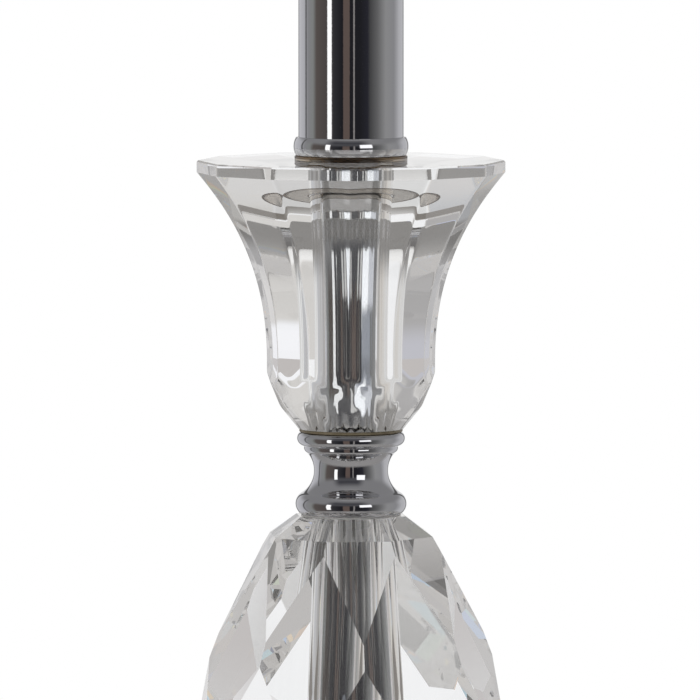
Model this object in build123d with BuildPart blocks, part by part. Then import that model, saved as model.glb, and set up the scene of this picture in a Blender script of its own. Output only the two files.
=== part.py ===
from build123d import *
import os
from math import atan, cos, degrees, radians, sin

# Table lamp: a cut-crystal column on a round chrome foot, with a threaded lamp holder on top.
# Sizes are in millimetres.  The origin is the middle of the felt's underside, +Z is up, -Y is the front.

os.makedirs("parts", exist_ok=True)

# Clearances, all on the radius unless the name says otherwise
ROD_CLEARANCE = 0.15
LINER_CLEARANCE = 0.3
BORE_CLEARANCE = 0.8
SLIP_CLEARANCE = 0.1
MOVING_CLEARANCE = 0.35
POCKET_CLEARANCE = 0.1

# Rod and sleeve that run through the column
ROD_RADIUS = 5.0
ROD_WALL = 1.1
SLEEVE_RADIUS = 7.0
SLEEVE_WALL = 1.0
NUT_ACROSS_FLATS = 17.0
NUT_HEIGHT = 6.0
WASHER_RADIUS = 10.0
WASHER_THICKNESS = 1.6

# Foot
FELT_THICKNESS = 1.5
FELT_INSET = 4.5
FOOT_RADIUS = 67.0
FOOT_WALL = 1.2
EDGE_BEAD = 2.25
BAND_INSET = 3.0
BAND_HEIGHT = 10.5
SHOULDER_RADIUS = 3.5
STEP_WIDTH = 3.5
STEP_RISE = 1.5
COVE_LEDGE = 1.5
COVE_RISE = 15.5
NECK_RADIUS = 24.0
NECK_LAND = 1.0
NECK_BEAD_HEIGHT = 3.5
NECK_BEAD_BULGE = 1.6

# Iron weight inside the foot
WEIGHT_MARGIN = 6.0
WEIGHT_THICKNESS = 10.0
WEIGHT_BOSS_RADIUS = 15.0
NUT_RECESS_DEPTH = 13.5
NUT_RECESS_MARGIN = 1.0
CORD_SLOT_MARGIN = 1.4

# Cord inlet at the back of the foot
CORD_RADIUS = 3.1
BUSH_WALL = 1.1
BUSH_LIP = 0.9
BUSH_LIP_THICKNESS = 1.4

# Collar under the crystal body
COLLAR_HEIGHT = 10.0
COLLAR_FOOT_RADIUS = 19.0
COLLAR_FOOT_BULGE = 1.3
COLLAR_WAIST_RADIUS = 18.6
COLLAR_TOP_RADIUS = 20.8
COLLAR_TOP_BULGE = 1.4

# Gaskets
BODY_GASKET_THICKNESS = 0.5
CUP_FOOT_GASKET_THICKNESS = 0.8
CUP_TOP_GASKET_THICKNESS = 1.2
GASKET_INSET = 0.4

# Crystal body: every tier of facets is given by its distance from the axis at two depths below the top
BODY_HEIGHT = 105.2
BODY_TURN = 5.5
BODY_SIDES = 8
TABLE_APOTHEM = 14.1
STEP_APOTHEM = 21.0
STEP_DEPTH = 5.3
SHIELD_APOTHEM = 35.5
SHIELD_DEPTH = 31.4
KITE_TOP_APOTHEM = 24.9
KITE_TOP_DEPTH = 8.9
KITE_APOTHEM = 32.8
GIRDLE_TOP_APOTHEM = 38.0
GIRDLE_TOP_DEPTH = 38.2
GIRDLE_APOTHEM = 40.2
GIRDLE_DEPTH = 56.5
LOWER_KITE_APOTHEM = 41.0
LOWER_KITE_DEPTH = 60.0
LOWER_SHIELD_APOTHEM = 39.5
LOWER_SHIELD_DEPTH = 68.0
LOWER_STEP_APOTHEM = 26.0
LOWER_STEP_DEPTH = 97.0
LOWER_TABLE_APOTHEM = 18.0

# Crystal cup: radii are over the corners of the twelve panels, drops are below the rim
CUP_HEIGHT = 71.6
CUP_SIDES = 12
RIM_RADIUS = 41.2
RIM_BAND = 3.2
RIM_BEVEL = 0.4
FLARE_RADIUS = 31.5
FLARE_DROP = 16.5
WAIST_RADIUS = 22.5
WAIST_DROP = 50.5
BOWL_DROP = 55.0
CUP_FOOT_RADIUS = 14.4
DIAMOND_TOP_APOTHEM = 22.3
DIAMOND_TOP_DROP = 57.0
DIAMOND_APOTHEM = 16.6
DIAMOND_DROP = 69.0
SOLE_APOTHEM = 19.4
SOLE_DROP = 64.5

# Spool between the crystals, drops are below its top
SPOOL_HEIGHT = 21.9
SPOOL_TOP_RADIUS = 13.4
SPOOL_TOP_BULGE = 1.0
SPOOL_TOP_BEAD = 3.5
SPOOL_GROOVE_RADIUS = 12.0
SPOOL_RING_BULGE = 0.3
SPOOL_RING_HEIGHT = 2.4
SPOOL_NECK_START_RADIUS = 10.5
SPOOL_NECK_RADIUS = 9.85
SPOOL_NECK_DROP = 9.3
SPOOL_NECK_END_RADIUS = 12.2
SPOOL_FOOT_BEAD = 6.3
SPOOL_FOOT_BULGE = 14.95
SPOOL_FOOT_RADIUS = 13.7

# Neck tube and the two rings that hold its ends
TUBE_RADIUS = 14.05
TUBE_WALL = 1.0
TUBE_LENGTH = 112.0
SEAT_FLOOR = 1.5
SEAT_DEPTH = 3.6
SEAT_LIP = 0.5
SEAT_BULGE = 1.2

# Lamp holder
CAP_BOSS_RADIUS = 8.5
CAP_BOSS_HEIGHT = 7.0
CAP_HEIGHT = 24.0
CAP_RADIUS = 20.5
CAP_SKIRT = 4.5
CAP_WALL = 1.2
GRUB_RADIUS = 1.5
GRUB_SOCKET_RADIUS = 0.8
SHELL_RADIUS = 19.8
SHELL_LEAD_RADIUS = 19.3
SHELL_THREAD_HEIGHT = 11.0
SHELL_LEAD_HEIGHT = 19.5
SHELL_WALL = 1.0
SHELL_LIP = 1.2
SHELL_SPIGOT_HEIGHT = 4.0
FLANGE_RADIUS = 23.5
FLANGE_THICKNESS = 2.5
CORE_WALL = 3.6
CORE_FLOOR = 8.0
CORE_DROP = 5.0
LAMP_RADIUS = 13.2
LAMP_DEPTH = 22.0
LAMP_SHELL_WALL = 0.5
LAMP_SHELL_LEDGE = 3.0
WELL_DEPTH = 4.5

# Contact in the bottom of the holder, and the terminals under it
CONTACT_WIDTH = 5.0
CONTACT_THICKNESS = 0.6
CONTACT_FOOT_LENGTH = 2.4
CONTACT_ROOT = 3.0
CONTACT_REACH = 6.2
CONTACT_RISE = 2.4
CONTACT_TIP = 1.6
TERMINAL_LENGTH = 7.0
TERMINAL_WIDTH = 5.0
TERMINAL_HEIGHT = 4.0
TERMINAL_OFFSET = 10.0
SCREW_RADIUS = 1.5
SCREW_HEAD_RADIUS = 2.3
SCREW_HEAD_HEIGHT = 1.6
SCREW_SLOT = 0.6

# Shade ring
RING_RADIUS = 28.5
RING_FLANGE = 1.6
RING_HUB_WALL = 2.4
RING_HUB_HEIGHT = 8.0
RING_GRIPS = 24
RING_GRIP_RADIUS = 0.7

# Heights of the stack
foot_bottom = FELT_THICKNESS
band_bottom = foot_bottom + 2 * EDGE_BEAD
band_top = band_bottom + BAND_HEIGHT
shoulder_top = band_top + SHOULDER_RADIUS
cove_bottom = shoulder_top + STEP_RISE
cove_top = cove_bottom + COVE_RISE
foot_top = cove_top + NECK_LAND + NECK_BEAD_HEIGHT
collar_top = foot_top + COLLAR_HEIGHT
body_bottom = collar_top + BODY_GASKET_THICKNESS
body_top = body_bottom + BODY_HEIGHT
spool_bottom = body_top + BODY_GASKET_THICKNESS
spool_top = spool_bottom + SPOOL_HEIGHT
cup_bottom = spool_top + CUP_FOOT_GASKET_THICKNESS
cup_top = cup_bottom + CUP_HEIGHT
seat_bottom = cup_top + CUP_TOP_GASKET_THICKNESS
tube_bottom = seat_bottom + SEAT_FLOOR
tube_top = tube_bottom + TUBE_LENGTH
tube_cap_top = tube_top + SEAT_FLOOR
cap_bottom = tube_cap_top + NUT_HEIGHT
cap_top = cap_bottom + CAP_HEIGHT
flange_top = cap_top + FLANGE_THICKNESS
thread_top = flange_top + SHELL_THREAD_HEIGHT
shell_top = thread_top + SHELL_LEAD_HEIGHT
core_bottom = cap_top - CORE_DROP
core_floor = core_bottom + CORE_FLOOR
lamp_bottom = core_floor + WELL_DEPTH
nut_recess_top = foot_bottom + NUT_RECESS_DEPTH
washer_bottom = nut_recess_top - WASHER_THICKNESS
rod_bottom = washer_bottom - NUT_HEIGHT - 1.5
rod_top = cap_bottom + CAP_BOSS_HEIGHT

# Radii shared by several pieces
rod_hole = ROD_RADIUS + ROD_CLEARANCE
liner_hole = SLEEVE_RADIUS + LINER_CLEARANCE
crystal_bore = SLEEVE_RADIUS + BORE_CLEARANCE
band_radius = FOOT_RADIUS - BAND_INSET
band_inside = band_radius - FOOT_WALL
nut_corner = NUT_ACROSS_FLATS / 2 / cos(radians(30))
seat_recess = TUBE_RADIUS + SLIP_CLEARANCE
seat_rim = seat_recess + SEAT_LIP
lamp_outside = LAMP_RADIUS + LAMP_SHELL_WALL
well_radius = LAMP_RADIUS - LAMP_SHELL_LEDGE
core_radius = lamp_outside + SLIP_CLEARANCE + CORE_WALL
inlet_height = band_bottom + (BAND_HEIGHT - SHOULDER_RADIUS) / 2 + SHOULDER_RADIUS / 2
bush_radius = CORD_RADIUS + BUSH_WALL


def facet_tier(sides, turn, upper, lower, bottom, top, mode=Mode.INTERSECT):
    """Shape the open part to the flat sides of a pyramid that passes through two (apothem, height) pairs."""
    gain = (lower[0] - upper[0]) / (upper[1] - lower[1])
    base_apothem = lower[0] + gain * (lower[1] - bottom)
    with BuildSketch(Plane.XY.offset(bottom)) as outline:
        RegularPolygon(base_apothem, sides, major_radius=False, rotation=turn)
    extrude(outline.sketch, amount=top - bottom, taper=degrees(atan(gain)), mode=mode)


def upright_plane(angle):
    """Upright plane through the axis whose local x points out at the given angle from +X."""
    turn = radians(angle)
    return Plane(origin=(0, 0, 0), x_dir=(cos(turn), sin(turn), 0), z_dir=(sin(turn), -cos(turn), 0))


with BuildPart() as felt_pad:
    with BuildSketch():
        Circle(FOOT_RADIUS - FELT_INSET)
    extrude(amount=FELT_THICKNESS)
felt_pad.part.label = "felt_pad"

# Spun foot: rolled edge, upright band, rounded shoulder, cove and a bead under the collar
edge_radius = FOOT_RADIUS - EDGE_BEAD
shoulder_radius = band_radius - SHOULDER_RADIUS
riser_radius = shoulder_radius - STEP_WIDTH
cove_radius = riser_radius - COVE_LEDGE
cove_run = cove_radius - NECK_RADIUS
cove_curve = (cove_run**2 + COVE_RISE**2) / (2 * COVE_RISE)
wall_ratio = (cove_curve + FOOT_WALL) / cove_curve
neck_inside = cove_radius - cove_run * wall_ratio
cove_inside_top = cove_bottom + cove_curve - (cove_curve - COVE_RISE) * wall_ratio
with BuildPart() as base_shell:
    with BuildSketch(Plane.XZ):
        with BuildLine():
            Line((0, foot_bottom), (edge_radius, foot_bottom))
            ThreePointArc(
                (edge_radius, foot_bottom),
                (FOOT_RADIUS, foot_bottom + EDGE_BEAD),
                (edge_radius, band_bottom),
            )
            Polyline((edge_radius, band_bottom), (band_radius, band_bottom), (band_radius, band_top))
            TangentArc((band_radius, band_top), (shoulder_radius, shoulder_top), tangent=(0, 1))
            Polyline(
                (shoulder_radius, shoulder_top),
                (riser_radius, shoulder_top),
                (riser_radius, cove_bottom),
                (cove_radius, cove_bottom),
            )
            TangentArc((cove_radius, cove_bottom), (NECK_RADIUS, cove_top), tangent=(-1, 0))
            Line((NECK_RADIUS, cove_top), (NECK_RADIUS, cove_top + NECK_LAND))
            ThreePointArc(
                (NECK_RADIUS, cove_top + NECK_LAND),
                (NECK_RADIUS + NECK_BEAD_BULGE, foot_top - NECK_BEAD_HEIGHT / 2),
                (NECK_RADIUS, foot_top),
            )
            Polyline((NECK_RADIUS, foot_top), (0, foot_top), (0, foot_bottom))
        make_face()
    revolve(axis=Axis.Z)
    with BuildSketch(Plane.XZ):
        with BuildLine():
            Polyline((0, foot_bottom), (band_inside, foot_bottom), (band_inside, band_top))
            TangentArc((band_inside, band_top), (shoulder_radius, shoulder_top - FOOT_WALL), tangent=(0, 1))
            Polyline(
                (shoulder_radius, shoulder_top - FOOT_WALL),
                (riser_radius - FOOT_WALL, shoulder_top - FOOT_WALL),
                (riser_radius - FOOT_WALL, cove_bottom - FOOT_WALL),
                (cove_radius, cove_bottom - FOOT_WALL),
            )
            TangentArc((cove_radius, cove_bottom - FOOT_WALL), (neck_inside, cove_inside_top), tangent=(-1, 0))
            Polyline(
                (neck_inside, cove_inside_top),
                (neck_inside, foot_top - FOOT_WALL),
                (0, foot_top - FOOT_WALL),
                (0, foot_bottom),
            )
        make_face()
    revolve(axis=Axis.Z, mode=Mode.SUBTRACT)
    with Locations((0, 0, foot_top)):
        Hole(rod_hole, depth=2 * FOOT_WALL)
    with BuildSketch(Plane(origin=(0, 0, inlet_height), x_dir=(1, 0, 0), z_dir=(0, 1, 0))):
        Circle(bush_radius + POCKET_CLEARANCE)
    extrude(amount=FOOT_RADIUS, mode=Mode.SUBTRACT)
base_shell.part.label = "base_shell"

weight_radius = band_inside - WEIGHT_MARGIN
weight_top = foot_bottom + WEIGHT_THICKNESS
recess_radius = max(nut_corner, WASHER_RADIUS) + NUT_RECESS_MARGIN
slot_width = 2 * (CORD_RADIUS + CORD_SLOT_MARGIN)
slot_top = inlet_height + CORD_RADIUS
with BuildPart() as base_weight:
    with BuildSketch(Plane.XY.offset(foot_bottom)):
        Circle(weight_radius)
    extrude(amount=WEIGHT_THICKNESS)
    with BuildSketch(Plane.XY.offset(foot_bottom)):
        Circle(max(WEIGHT_BOSS_RADIUS, recess_radius + 2.0))
    extrude(amount=foot_top - FOOT_WALL - foot_bottom)
    with BuildSketch(Plane.XY.offset(foot_bottom)):
        Circle(recess_radius)
    extrude(amount=NUT_RECESS_DEPTH, mode=Mode.SUBTRACT)
    with BuildSketch(Plane.XY.offset(nut_recess_top)):
        Circle(rod_hole)
    extrude(amount=foot_top - nut_recess_top, mode=Mode.SUBTRACT)
    with BuildSketch(Plane.XY.offset(foot_bottom)):
        with Locations((0, weight_radius / 2)):
            Rectangle(slot_width, weight_radius + 2)
    extrude(amount=slot_top - foot_bottom, mode=Mode.SUBTRACT)
base_weight.part.label = "base_weight"

with BuildPart() as base_washer:
    with BuildSketch(Plane.XY.offset(washer_bottom)):
        Circle(WASHER_RADIUS)
        Circle(rod_hole, mode=Mode.SUBTRACT)
    extrude(amount=WASHER_THICKNESS)
base_washer.part.label = "base_washer"

with BuildPart() as base_nut:
    with BuildSketch(Plane.XY.offset(washer_bottom - NUT_HEIGHT)):
        RegularPolygon(NUT_ACROSS_FLATS / 2, 6, major_radius=False)
        Circle(rod_hole, mode=Mode.SUBTRACT)
    extrude(amount=NUT_HEIGHT)
base_nut.part.label = "base_nut"

# Cord bush: a short tube in the band with a lip on either side that follows the band's curve
inlet_plane = Plane(origin=(0, 0, inlet_height), x_dir=(1, 0, 0), z_dir=(0, 1, 0))
lip_radius = bush_radius + BUSH_LIP
with BuildPart() as cord_bush:
    with BuildSketch(inlet_plane):
        Circle(lip_radius)
    extrude(amount=band_radius + BUSH_LIP_THICKNESS)
    with BuildSketch(inlet_plane):
        Circle(lip_radius + 1)
    extrude(amount=band_inside - BUSH_LIP_THICKNESS, mode=Mode.SUBTRACT)
    with BuildSketch(Plane.XY):
        Circle(band_radius)
        Circle(band_inside, mode=Mode.SUBTRACT)
    extrude(amount=foot_top, mode=Mode.SUBTRACT)
    with BuildSketch(inlet_plane.offset(band_inside - BUSH_LIP_THICKNESS)):
        Circle(bush_radius)
    extrude(amount=FOOT_WALL + 2 * BUSH_LIP_THICKNESS)
    with BuildSketch(inlet_plane):
        Circle(CORD_RADIUS)
    extrude(amount=FOOT_RADIUS + BUSH_LIP_THICKNESS, mode=Mode.SUBTRACT)
cord_bush.part.label = "cord_bush"

with BuildPart() as base_collar:
    with BuildSketch(Plane.XZ):
        with BuildLine():
            Line((liner_hole, foot_top), (COLLAR_FOOT_RADIUS, foot_top))
            ThreePointArc(
                (COLLAR_FOOT_RADIUS, foot_top),
                (COLLAR_FOOT_RADIUS + COLLAR_FOOT_BULGE, foot_top + 0.17 * COLLAR_HEIGHT),
                (COLLAR_WAIST_RADIUS, foot_top + 0.33 * COLLAR_HEIGHT),
            )
            TangentArc(
                (COLLAR_WAIST_RADIUS, foot_top + 0.33 * COLLAR_HEIGHT),
                (COLLAR_TOP_RADIUS, foot_top + 0.68 * COLLAR_HEIGHT),
                tangent=(-0.2, 1),
            )
            ThreePointArc(
                (COLLAR_TOP_RADIUS, foot_top + 0.68 * COLLAR_HEIGHT),
                (COLLAR_TOP_RADIUS + COLLAR_TOP_BULGE, foot_top + 0.84 * COLLAR_HEIGHT),
                (COLLAR_TOP_RADIUS, collar_top),
            )
            Polyline((COLLAR_TOP_RADIUS, collar_top), (liner_hole, collar_top), (liner_hole, foot_top))
        make_face()
    revolve(axis=Axis.Z)
base_collar.part.label = "base_collar"

with BuildPart() as body_gasket_lower:
    with BuildSketch(Plane.XY.offset(collar_top)):
        Circle(LOWER_TABLE_APOTHEM - GASKET_INSET)
        Circle(crystal_bore, mode=Mode.SUBTRACT)
    extrude(amount=BODY_GASKET_THICKNESS)
body_gasket_lower.part.label = "body_gasket_lower"

# Crystal body: what is left inside seven eight-sided pyramids, alternately turned by half a facet
facet_turn = BODY_TURN - 90 - 180 / BODY_SIDES
kite_turn = BODY_TURN - 90
step_mark = (STEP_APOTHEM, body_top - STEP_DEPTH)
lower_step_mark = (LOWER_STEP_APOTHEM, body_top - LOWER_STEP_DEPTH)
body_tiers = [
    (facet_turn, (GIRDLE_TOP_APOTHEM, body_top - GIRDLE_TOP_DEPTH), (GIRDLE_APOTHEM, body_top - GIRDLE_DEPTH)),
    (facet_turn, (TABLE_APOTHEM, body_top), step_mark),
    (facet_turn, step_mark, (SHIELD_APOTHEM, body_top - SHIELD_DEPTH)),
    (kite_turn, (KITE_TOP_APOTHEM, body_top - KITE_TOP_DEPTH), (KITE_APOTHEM, body_top - SHIELD_DEPTH)),
    (kite_turn, (LOWER_KITE_APOTHEM, body_top - LOWER_KITE_DEPTH), lower_step_mark),
    (facet_turn, (LOWER_SHIELD_APOTHEM, body_top - LOWER_SHIELD_DEPTH), lower_step_mark),
    (facet_turn, lower_step_mark, (LOWER_TABLE_APOTHEM, body_bottom)),
]
with BuildPart() as crystal_body:
    for order, (turn, upper, lower) in enumerate(body_tiers):
        tier_mode = Mode.INTERSECT if order else Mode.ADD
        facet_tier(BODY_SIDES, turn, upper, lower, body_bottom, body_top, tier_mode)
    with Locations((0, 0, body_top)):
        Hole(crystal_bore, depth=BODY_HEIGHT)
crystal_body.part.label = "crystal_body"

with BuildPart() as body_gasket_upper:
    with BuildSketch(Plane.XY.offset(body_top)):
        Circle(min(TABLE_APOTHEM, SPOOL_FOOT_RADIUS) - GASKET_INSET)
        Circle(crystal_bore, mode=Mode.SUBTRACT)
    extrude(amount=BODY_GASKET_THICKNESS)
body_gasket_upper.part.label = "body_gasket_upper"

# Turned spool: bead, small ring, hollow neck and a full bead at the foot
top_bead_bottom = spool_top - SPOOL_TOP_BEAD
ring_bottom = top_bead_bottom - SPOOL_RING_HEIGHT
foot_bead_top = spool_bottom + SPOOL_FOOT_BEAD
with BuildPart() as spool:
    with BuildSketch(Plane.XZ):
        with BuildLine():
            Line((liner_hole, spool_top), (SPOOL_TOP_RADIUS, spool_top))
            ThreePointArc(
                (SPOOL_TOP_RADIUS, spool_top),
                (SPOOL_TOP_RADIUS + SPOOL_TOP_BULGE, spool_top - 0.42 * SPOOL_TOP_BEAD),
                (SPOOL_GROOVE_RADIUS, top_bead_bottom),
            )
            ThreePointArc(
                (SPOOL_GROOVE_RADIUS, top_bead_bottom),
                (SPOOL_GROOVE_RADIUS + SPOOL_RING_BULGE, top_bead_bottom - 0.4 * SPOOL_RING_HEIGHT),
                (SPOOL_NECK_START_RADIUS, ring_bottom),
            )
            ThreePointArc(
                (SPOOL_NECK_START_RADIUS, ring_bottom),
                (SPOOL_NECK_RADIUS, spool_top - SPOOL_NECK_DROP),
                (SPOOL_NECK_END_RADIUS, foot_bead_top),
            )
            ThreePointArc(
                (SPOOL_NECK_END_RADIUS, foot_bead_top),
                (SPOOL_FOOT_BULGE, spool_bottom + 0.38 * SPOOL_FOOT_BEAD),
                (SPOOL_FOOT_RADIUS, spool_bottom),
            )
            Polyline((SPOOL_FOOT_RADIUS, spool_bottom), (liner_hole, spool_bottom), (liner_hole, spool_top))
        make_face()
    revolve(axis=Axis.Z)
spool.part.label = "spool"

with BuildPart() as cup_gasket_lower:
    with BuildSketch(Plane.XY.offset(spool_top)):
        Circle(min(CUP_FOOT_RADIUS * cos(radians(180 / CUP_SIDES)), SPOOL_TOP_RADIUS + GASKET_INSET))
        Circle(crystal_bore, mode=Mode.SUBTRACT)
    extrude(amount=CUP_FOOT_GASKET_THICKNESS)
cup_gasket_lower.part.label = "cup_gasket_lower"

# Crystal cup: what six straight-sided bell outlines, turned a panel apart, have in common
flatten = cos(radians(180 / CUP_SIDES))
rim_apothem = RIM_RADIUS * flatten
flare_point = (FLARE_RADIUS * flatten, cup_top - FLARE_DROP)
waist_point = (WAIST_RADIUS * flatten, cup_top - WAIST_DROP)
bowl_point = (WAIST_RADIUS * flatten, cup_top - BOWL_DROP)
sole_point = (CUP_FOOT_RADIUS * flatten, cup_bottom)
panel_angle = 360 / CUP_SIDES
with BuildPart() as crystal_cup:
    for panel in range(CUP_SIDES // 2):
        with BuildSketch(upright_plane((panel + 0.5) * panel_angle)):
            with BuildLine():
                Polyline((0, cup_top), (rim_apothem, cup_top), (rim_apothem, cup_top - RIM_BAND))
                lower_flare = TangentArc(waist_point, flare_point, tangent=(0, 1))
                TangentArc(flare_point, (rim_apothem, cup_top - RIM_BAND), tangent=lower_flare % 1)
                Line(waist_point, bowl_point)
                TangentArc(bowl_point, sole_point, tangent=(0, -1))
                Line(sole_point, (0, cup_bottom))
                mirror(about=Plane.YZ)
            make_face()
        panel_mode = Mode.INTERSECT if panel else Mode.ADD
        extrude(amount=RIM_RADIUS, both=True, mode=panel_mode)
    facet_tier(
        CUP_SIDES,
        panel_angle / 2,
        (DIAMOND_TOP_APOTHEM, cup_top - DIAMOND_TOP_DROP),
        (DIAMOND_APOTHEM, cup_top - DIAMOND_DROP),
        cup_bottom,
        cup_top,
    )
    facet_tier(CUP_SIDES, 0, (SOLE_APOTHEM, cup_top - SOLE_DROP), sole_point, cup_bottom, cup_top)
    chamfer(crystal_cup.faces().sort_by(Axis.Z)[-1].outer_wire().edges(), length=RIM_BEVEL)
    with Locations((0, 0, cup_top)):
        Hole(crystal_bore, depth=CUP_HEIGHT)
crystal_cup.part.label = "crystal_cup"

with BuildPart() as cup_gasket_upper:
    with BuildSketch(Plane.XY.offset(cup_top)):
        Circle(seat_rim + GASKET_INSET)
        Circle(crystal_bore, mode=Mode.SUBTRACT)
    extrude(amount=CUP_TOP_GASKET_THICKNESS)
cup_gasket_upper.part.label = "cup_gasket_upper"

with BuildPart() as sleeve:
    with BuildSketch(Plane.XY.offset(foot_top)):
        Circle(SLEEVE_RADIUS)
        Circle(SLEEVE_RADIUS - SLEEVE_WALL, mode=Mode.SUBTRACT)
    extrude(amount=seat_bottom - foot_top)
sleeve.part.label = "sleeve"

with BuildPart() as threaded_rod:
    with BuildSketch(Plane.XY.offset(rod_bottom)):
        Circle(ROD_RADIUS)
        Circle(ROD_RADIUS - ROD_WALL, mode=Mode.SUBTRACT)
    extrude(amount=rod_top - rod_bottom)
threaded_rod.part.label = "threaded_rod"

# Bead rings at the two ends of the tube: a floor on the rod, a recess for the tube and a rounded outside
seat_top = tube_bottom + SEAT_DEPTH
with BuildPart() as tube_seat:
    with BuildSketch(Plane.XZ):
        with BuildLine():
            Line((rod_hole, seat_bottom), (seat_rim, seat_bottom))
            ThreePointArc(
                (seat_rim, seat_bottom),
                (seat_recess + SEAT_BULGE, seat_bottom + 0.45 * (seat_top - seat_bottom)),
                (seat_rim, seat_top),
            )
            Polyline(
                (seat_rim, seat_top),
                (seat_recess, seat_top),
                (seat_recess, tube_bottom),
                (rod_hole, tube_bottom),
                (rod_hole, seat_bottom),
            )
        make_face()
    revolve(axis=Axis.Z)
tube_seat.part.label = "tube_seat"

with BuildPart() as neck_tube:
    with BuildSketch(Plane.XY.offset(tube_bottom)):
        Circle(TUBE_RADIUS)
        Circle(TUBE_RADIUS - TUBE_WALL, mode=Mode.SUBTRACT)
    extrude(amount=TUBE_LENGTH)
neck_tube.part.label = "neck_tube"

tube_cap_bottom = tube_top - SEAT_DEPTH
with BuildPart() as tube_cap:
    with BuildSketch(Plane.XZ):
        with BuildLine():
            Line((rod_hole, tube_cap_top), (seat_rim, tube_cap_top))
            ThreePointArc(
                (seat_rim, tube_cap_top),
                (seat_recess + SEAT_BULGE, tube_cap_top - 0.45 * (tube_cap_top - tube_cap_bottom)),
                (seat_rim, tube_cap_bottom),
            )
            Polyline(
                (seat_rim, tube_cap_bottom),
                (seat_recess, tube_cap_bottom),
                (seat_recess, tube_top),
                (rod_hole, tube_top),
                (rod_hole, tube_cap_top),
            )
        make_face()
    revolve(axis=Axis.Z)
tube_cap.part.label = "tube_cap"

with BuildPart() as column_nut:
    with BuildSketch(Plane.XY.offset(tube_cap_top)):
        RegularPolygon(NUT_ACROSS_FLATS / 2, 6, major_radius=False)
    extrude(amount=NUT_HEIGHT)
    with BuildSketch(Plane.XZ):
        with BuildLine():
            Polyline(
                (0, tube_cap_top),
                (NUT_ACROSS_FLATS / 2, tube_cap_top),
                (nut_corner, tube_cap_top + 0.6),
                (nut_corner, cap_bottom - 0.6),
                (NUT_ACROSS_FLATS / 2, cap_bottom),
                (0, cap_bottom),
                close=True,
            )
        make_face()
    revolve(axis=Axis.Z, mode=Mode.INTERSECT)
    with Locations((0, 0, cap_bottom)):
        Hole(rod_hole, depth=NUT_HEIGHT)
column_nut.part.label = "column_nut"

# Holder cap: a boss on the rod that opens into a dome with a straight skirt
boss_top = cap_bottom + CAP_BOSS_HEIGHT
dome_top = cap_top - CAP_SKIRT
dome_span = CAP_RADIUS - CAP_BOSS_RADIUS
dome_rise = dome_top - boss_top
dome_middle = (CAP_BOSS_RADIUS + 0.66 * dome_span, boss_top + 0.34 * dome_rise)
with BuildPart() as holder_cap:
    with BuildSketch(Plane.XZ):
        with BuildLine():
            Polyline((0, cap_bottom), (CAP_BOSS_RADIUS, cap_bottom), (CAP_BOSS_RADIUS, boss_top))
            ThreePointArc((CAP_BOSS_RADIUS, boss_top), dome_middle, (CAP_RADIUS, dome_top))
            Polyline((CAP_RADIUS, dome_top), (CAP_RADIUS, cap_top), (0, cap_top), (0, cap_bottom))
        make_face()
    revolve(axis=Axis.Z)
    with BuildSketch(Plane.XZ):
        with BuildLine():
            Line((0, boss_top + CAP_WALL), (CAP_BOSS_RADIUS - CAP_WALL, boss_top + CAP_WALL))
            ThreePointArc(
                (CAP_BOSS_RADIUS - CAP_WALL, boss_top + CAP_WALL),
                (dome_middle[0] - 0.8 * CAP_WALL, dome_middle[1] + 0.8 * CAP_WALL),
                (CAP_RADIUS - CAP_WALL, dome_top + 0.3 * CAP_WALL),
            )
            Polyline(
                (CAP_RADIUS - CAP_WALL, dome_top + 0.3 * CAP_WALL),
                (CAP_RADIUS - CAP_WALL, cap_top),
                (0, cap_top),
                (0, boss_top + CAP_WALL),
            )
        make_face()
    revolve(axis=Axis.Z, mode=Mode.SUBTRACT)
    with BuildSketch(Plane.XY.offset(cap_bottom)):
        Circle(rod_hole)
    extrude(amount=CAP_HEIGHT, mode=Mode.SUBTRACT)
    with BuildSketch(Plane(origin=(0, 0, cap_bottom + CAP_BOSS_HEIGHT / 2), x_dir=(1, 0, 0), z_dir=(0, 1, 0))):
        Circle(GRUB_RADIUS + POCKET_CLEARANCE)
    extrude(amount=CAP_BOSS_RADIUS + 1, mode=Mode.SUBTRACT)
holder_cap.part.label = "holder_cap"

with BuildPart() as grub_screw:
    with BuildSketch(Plane(origin=(0, rod_hole, cap_bottom + CAP_BOSS_HEIGHT / 2), x_dir=(1, 0, 0), z_dir=(0, 1, 0))):
        Circle(GRUB_RADIUS)
    extrude(amount=CAP_BOSS_RADIUS - rod_hole - 0.2)
    with BuildSketch(grub_screw.faces().sort_by(Axis.Y)[-1]):
        RegularPolygon(GRUB_SOCKET_RADIUS, 6)
    extrude(amount=-0.5 * (CAP_BOSS_RADIUS - rod_hole), mode=Mode.SUBTRACT)
grub_screw.part.label = "grub_screw"

# Holder shell: spigot in the cap, flange for the shade, threaded skirt and a plain lead above it
shell_inside = core_radius + SLIP_CLEARANCE
spigot_radius = CAP_RADIUS - CAP_WALL - SLIP_CLEARANCE
with BuildPart() as holder_shell:
    with BuildSketch(Plane.XZ):
        with BuildLine():
            Polyline(
                (shell_inside, cap_top - SHELL_SPIGOT_HEIGHT),
                (spigot_radius, cap_top - SHELL_SPIGOT_HEIGHT),
                (spigot_radius, cap_top),
                (FLANGE_RADIUS, cap_top),
                (FLANGE_RADIUS, flange_top),
                (SHELL_RADIUS, flange_top),
                (SHELL_RADIUS, thread_top),
                (SHELL_LEAD_RADIUS, thread_top),
                (SHELL_LEAD_RADIUS, shell_top),
                (shell_inside - SHELL_LIP, shell_top),
                (shell_inside - SHELL_LIP, shell_top - SHELL_WALL),
                (shell_inside, shell_top - SHELL_WALL),
                close=True,
            )
        make_face()
    revolve(axis=Axis.Z)
    chamfer(holder_shell.faces().filter_by(Plane.XY).sort_by(Axis.Z)[-1].outer_wire().edges(), length=0.4)
holder_shell.part.label = "holder_shell"

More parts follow.
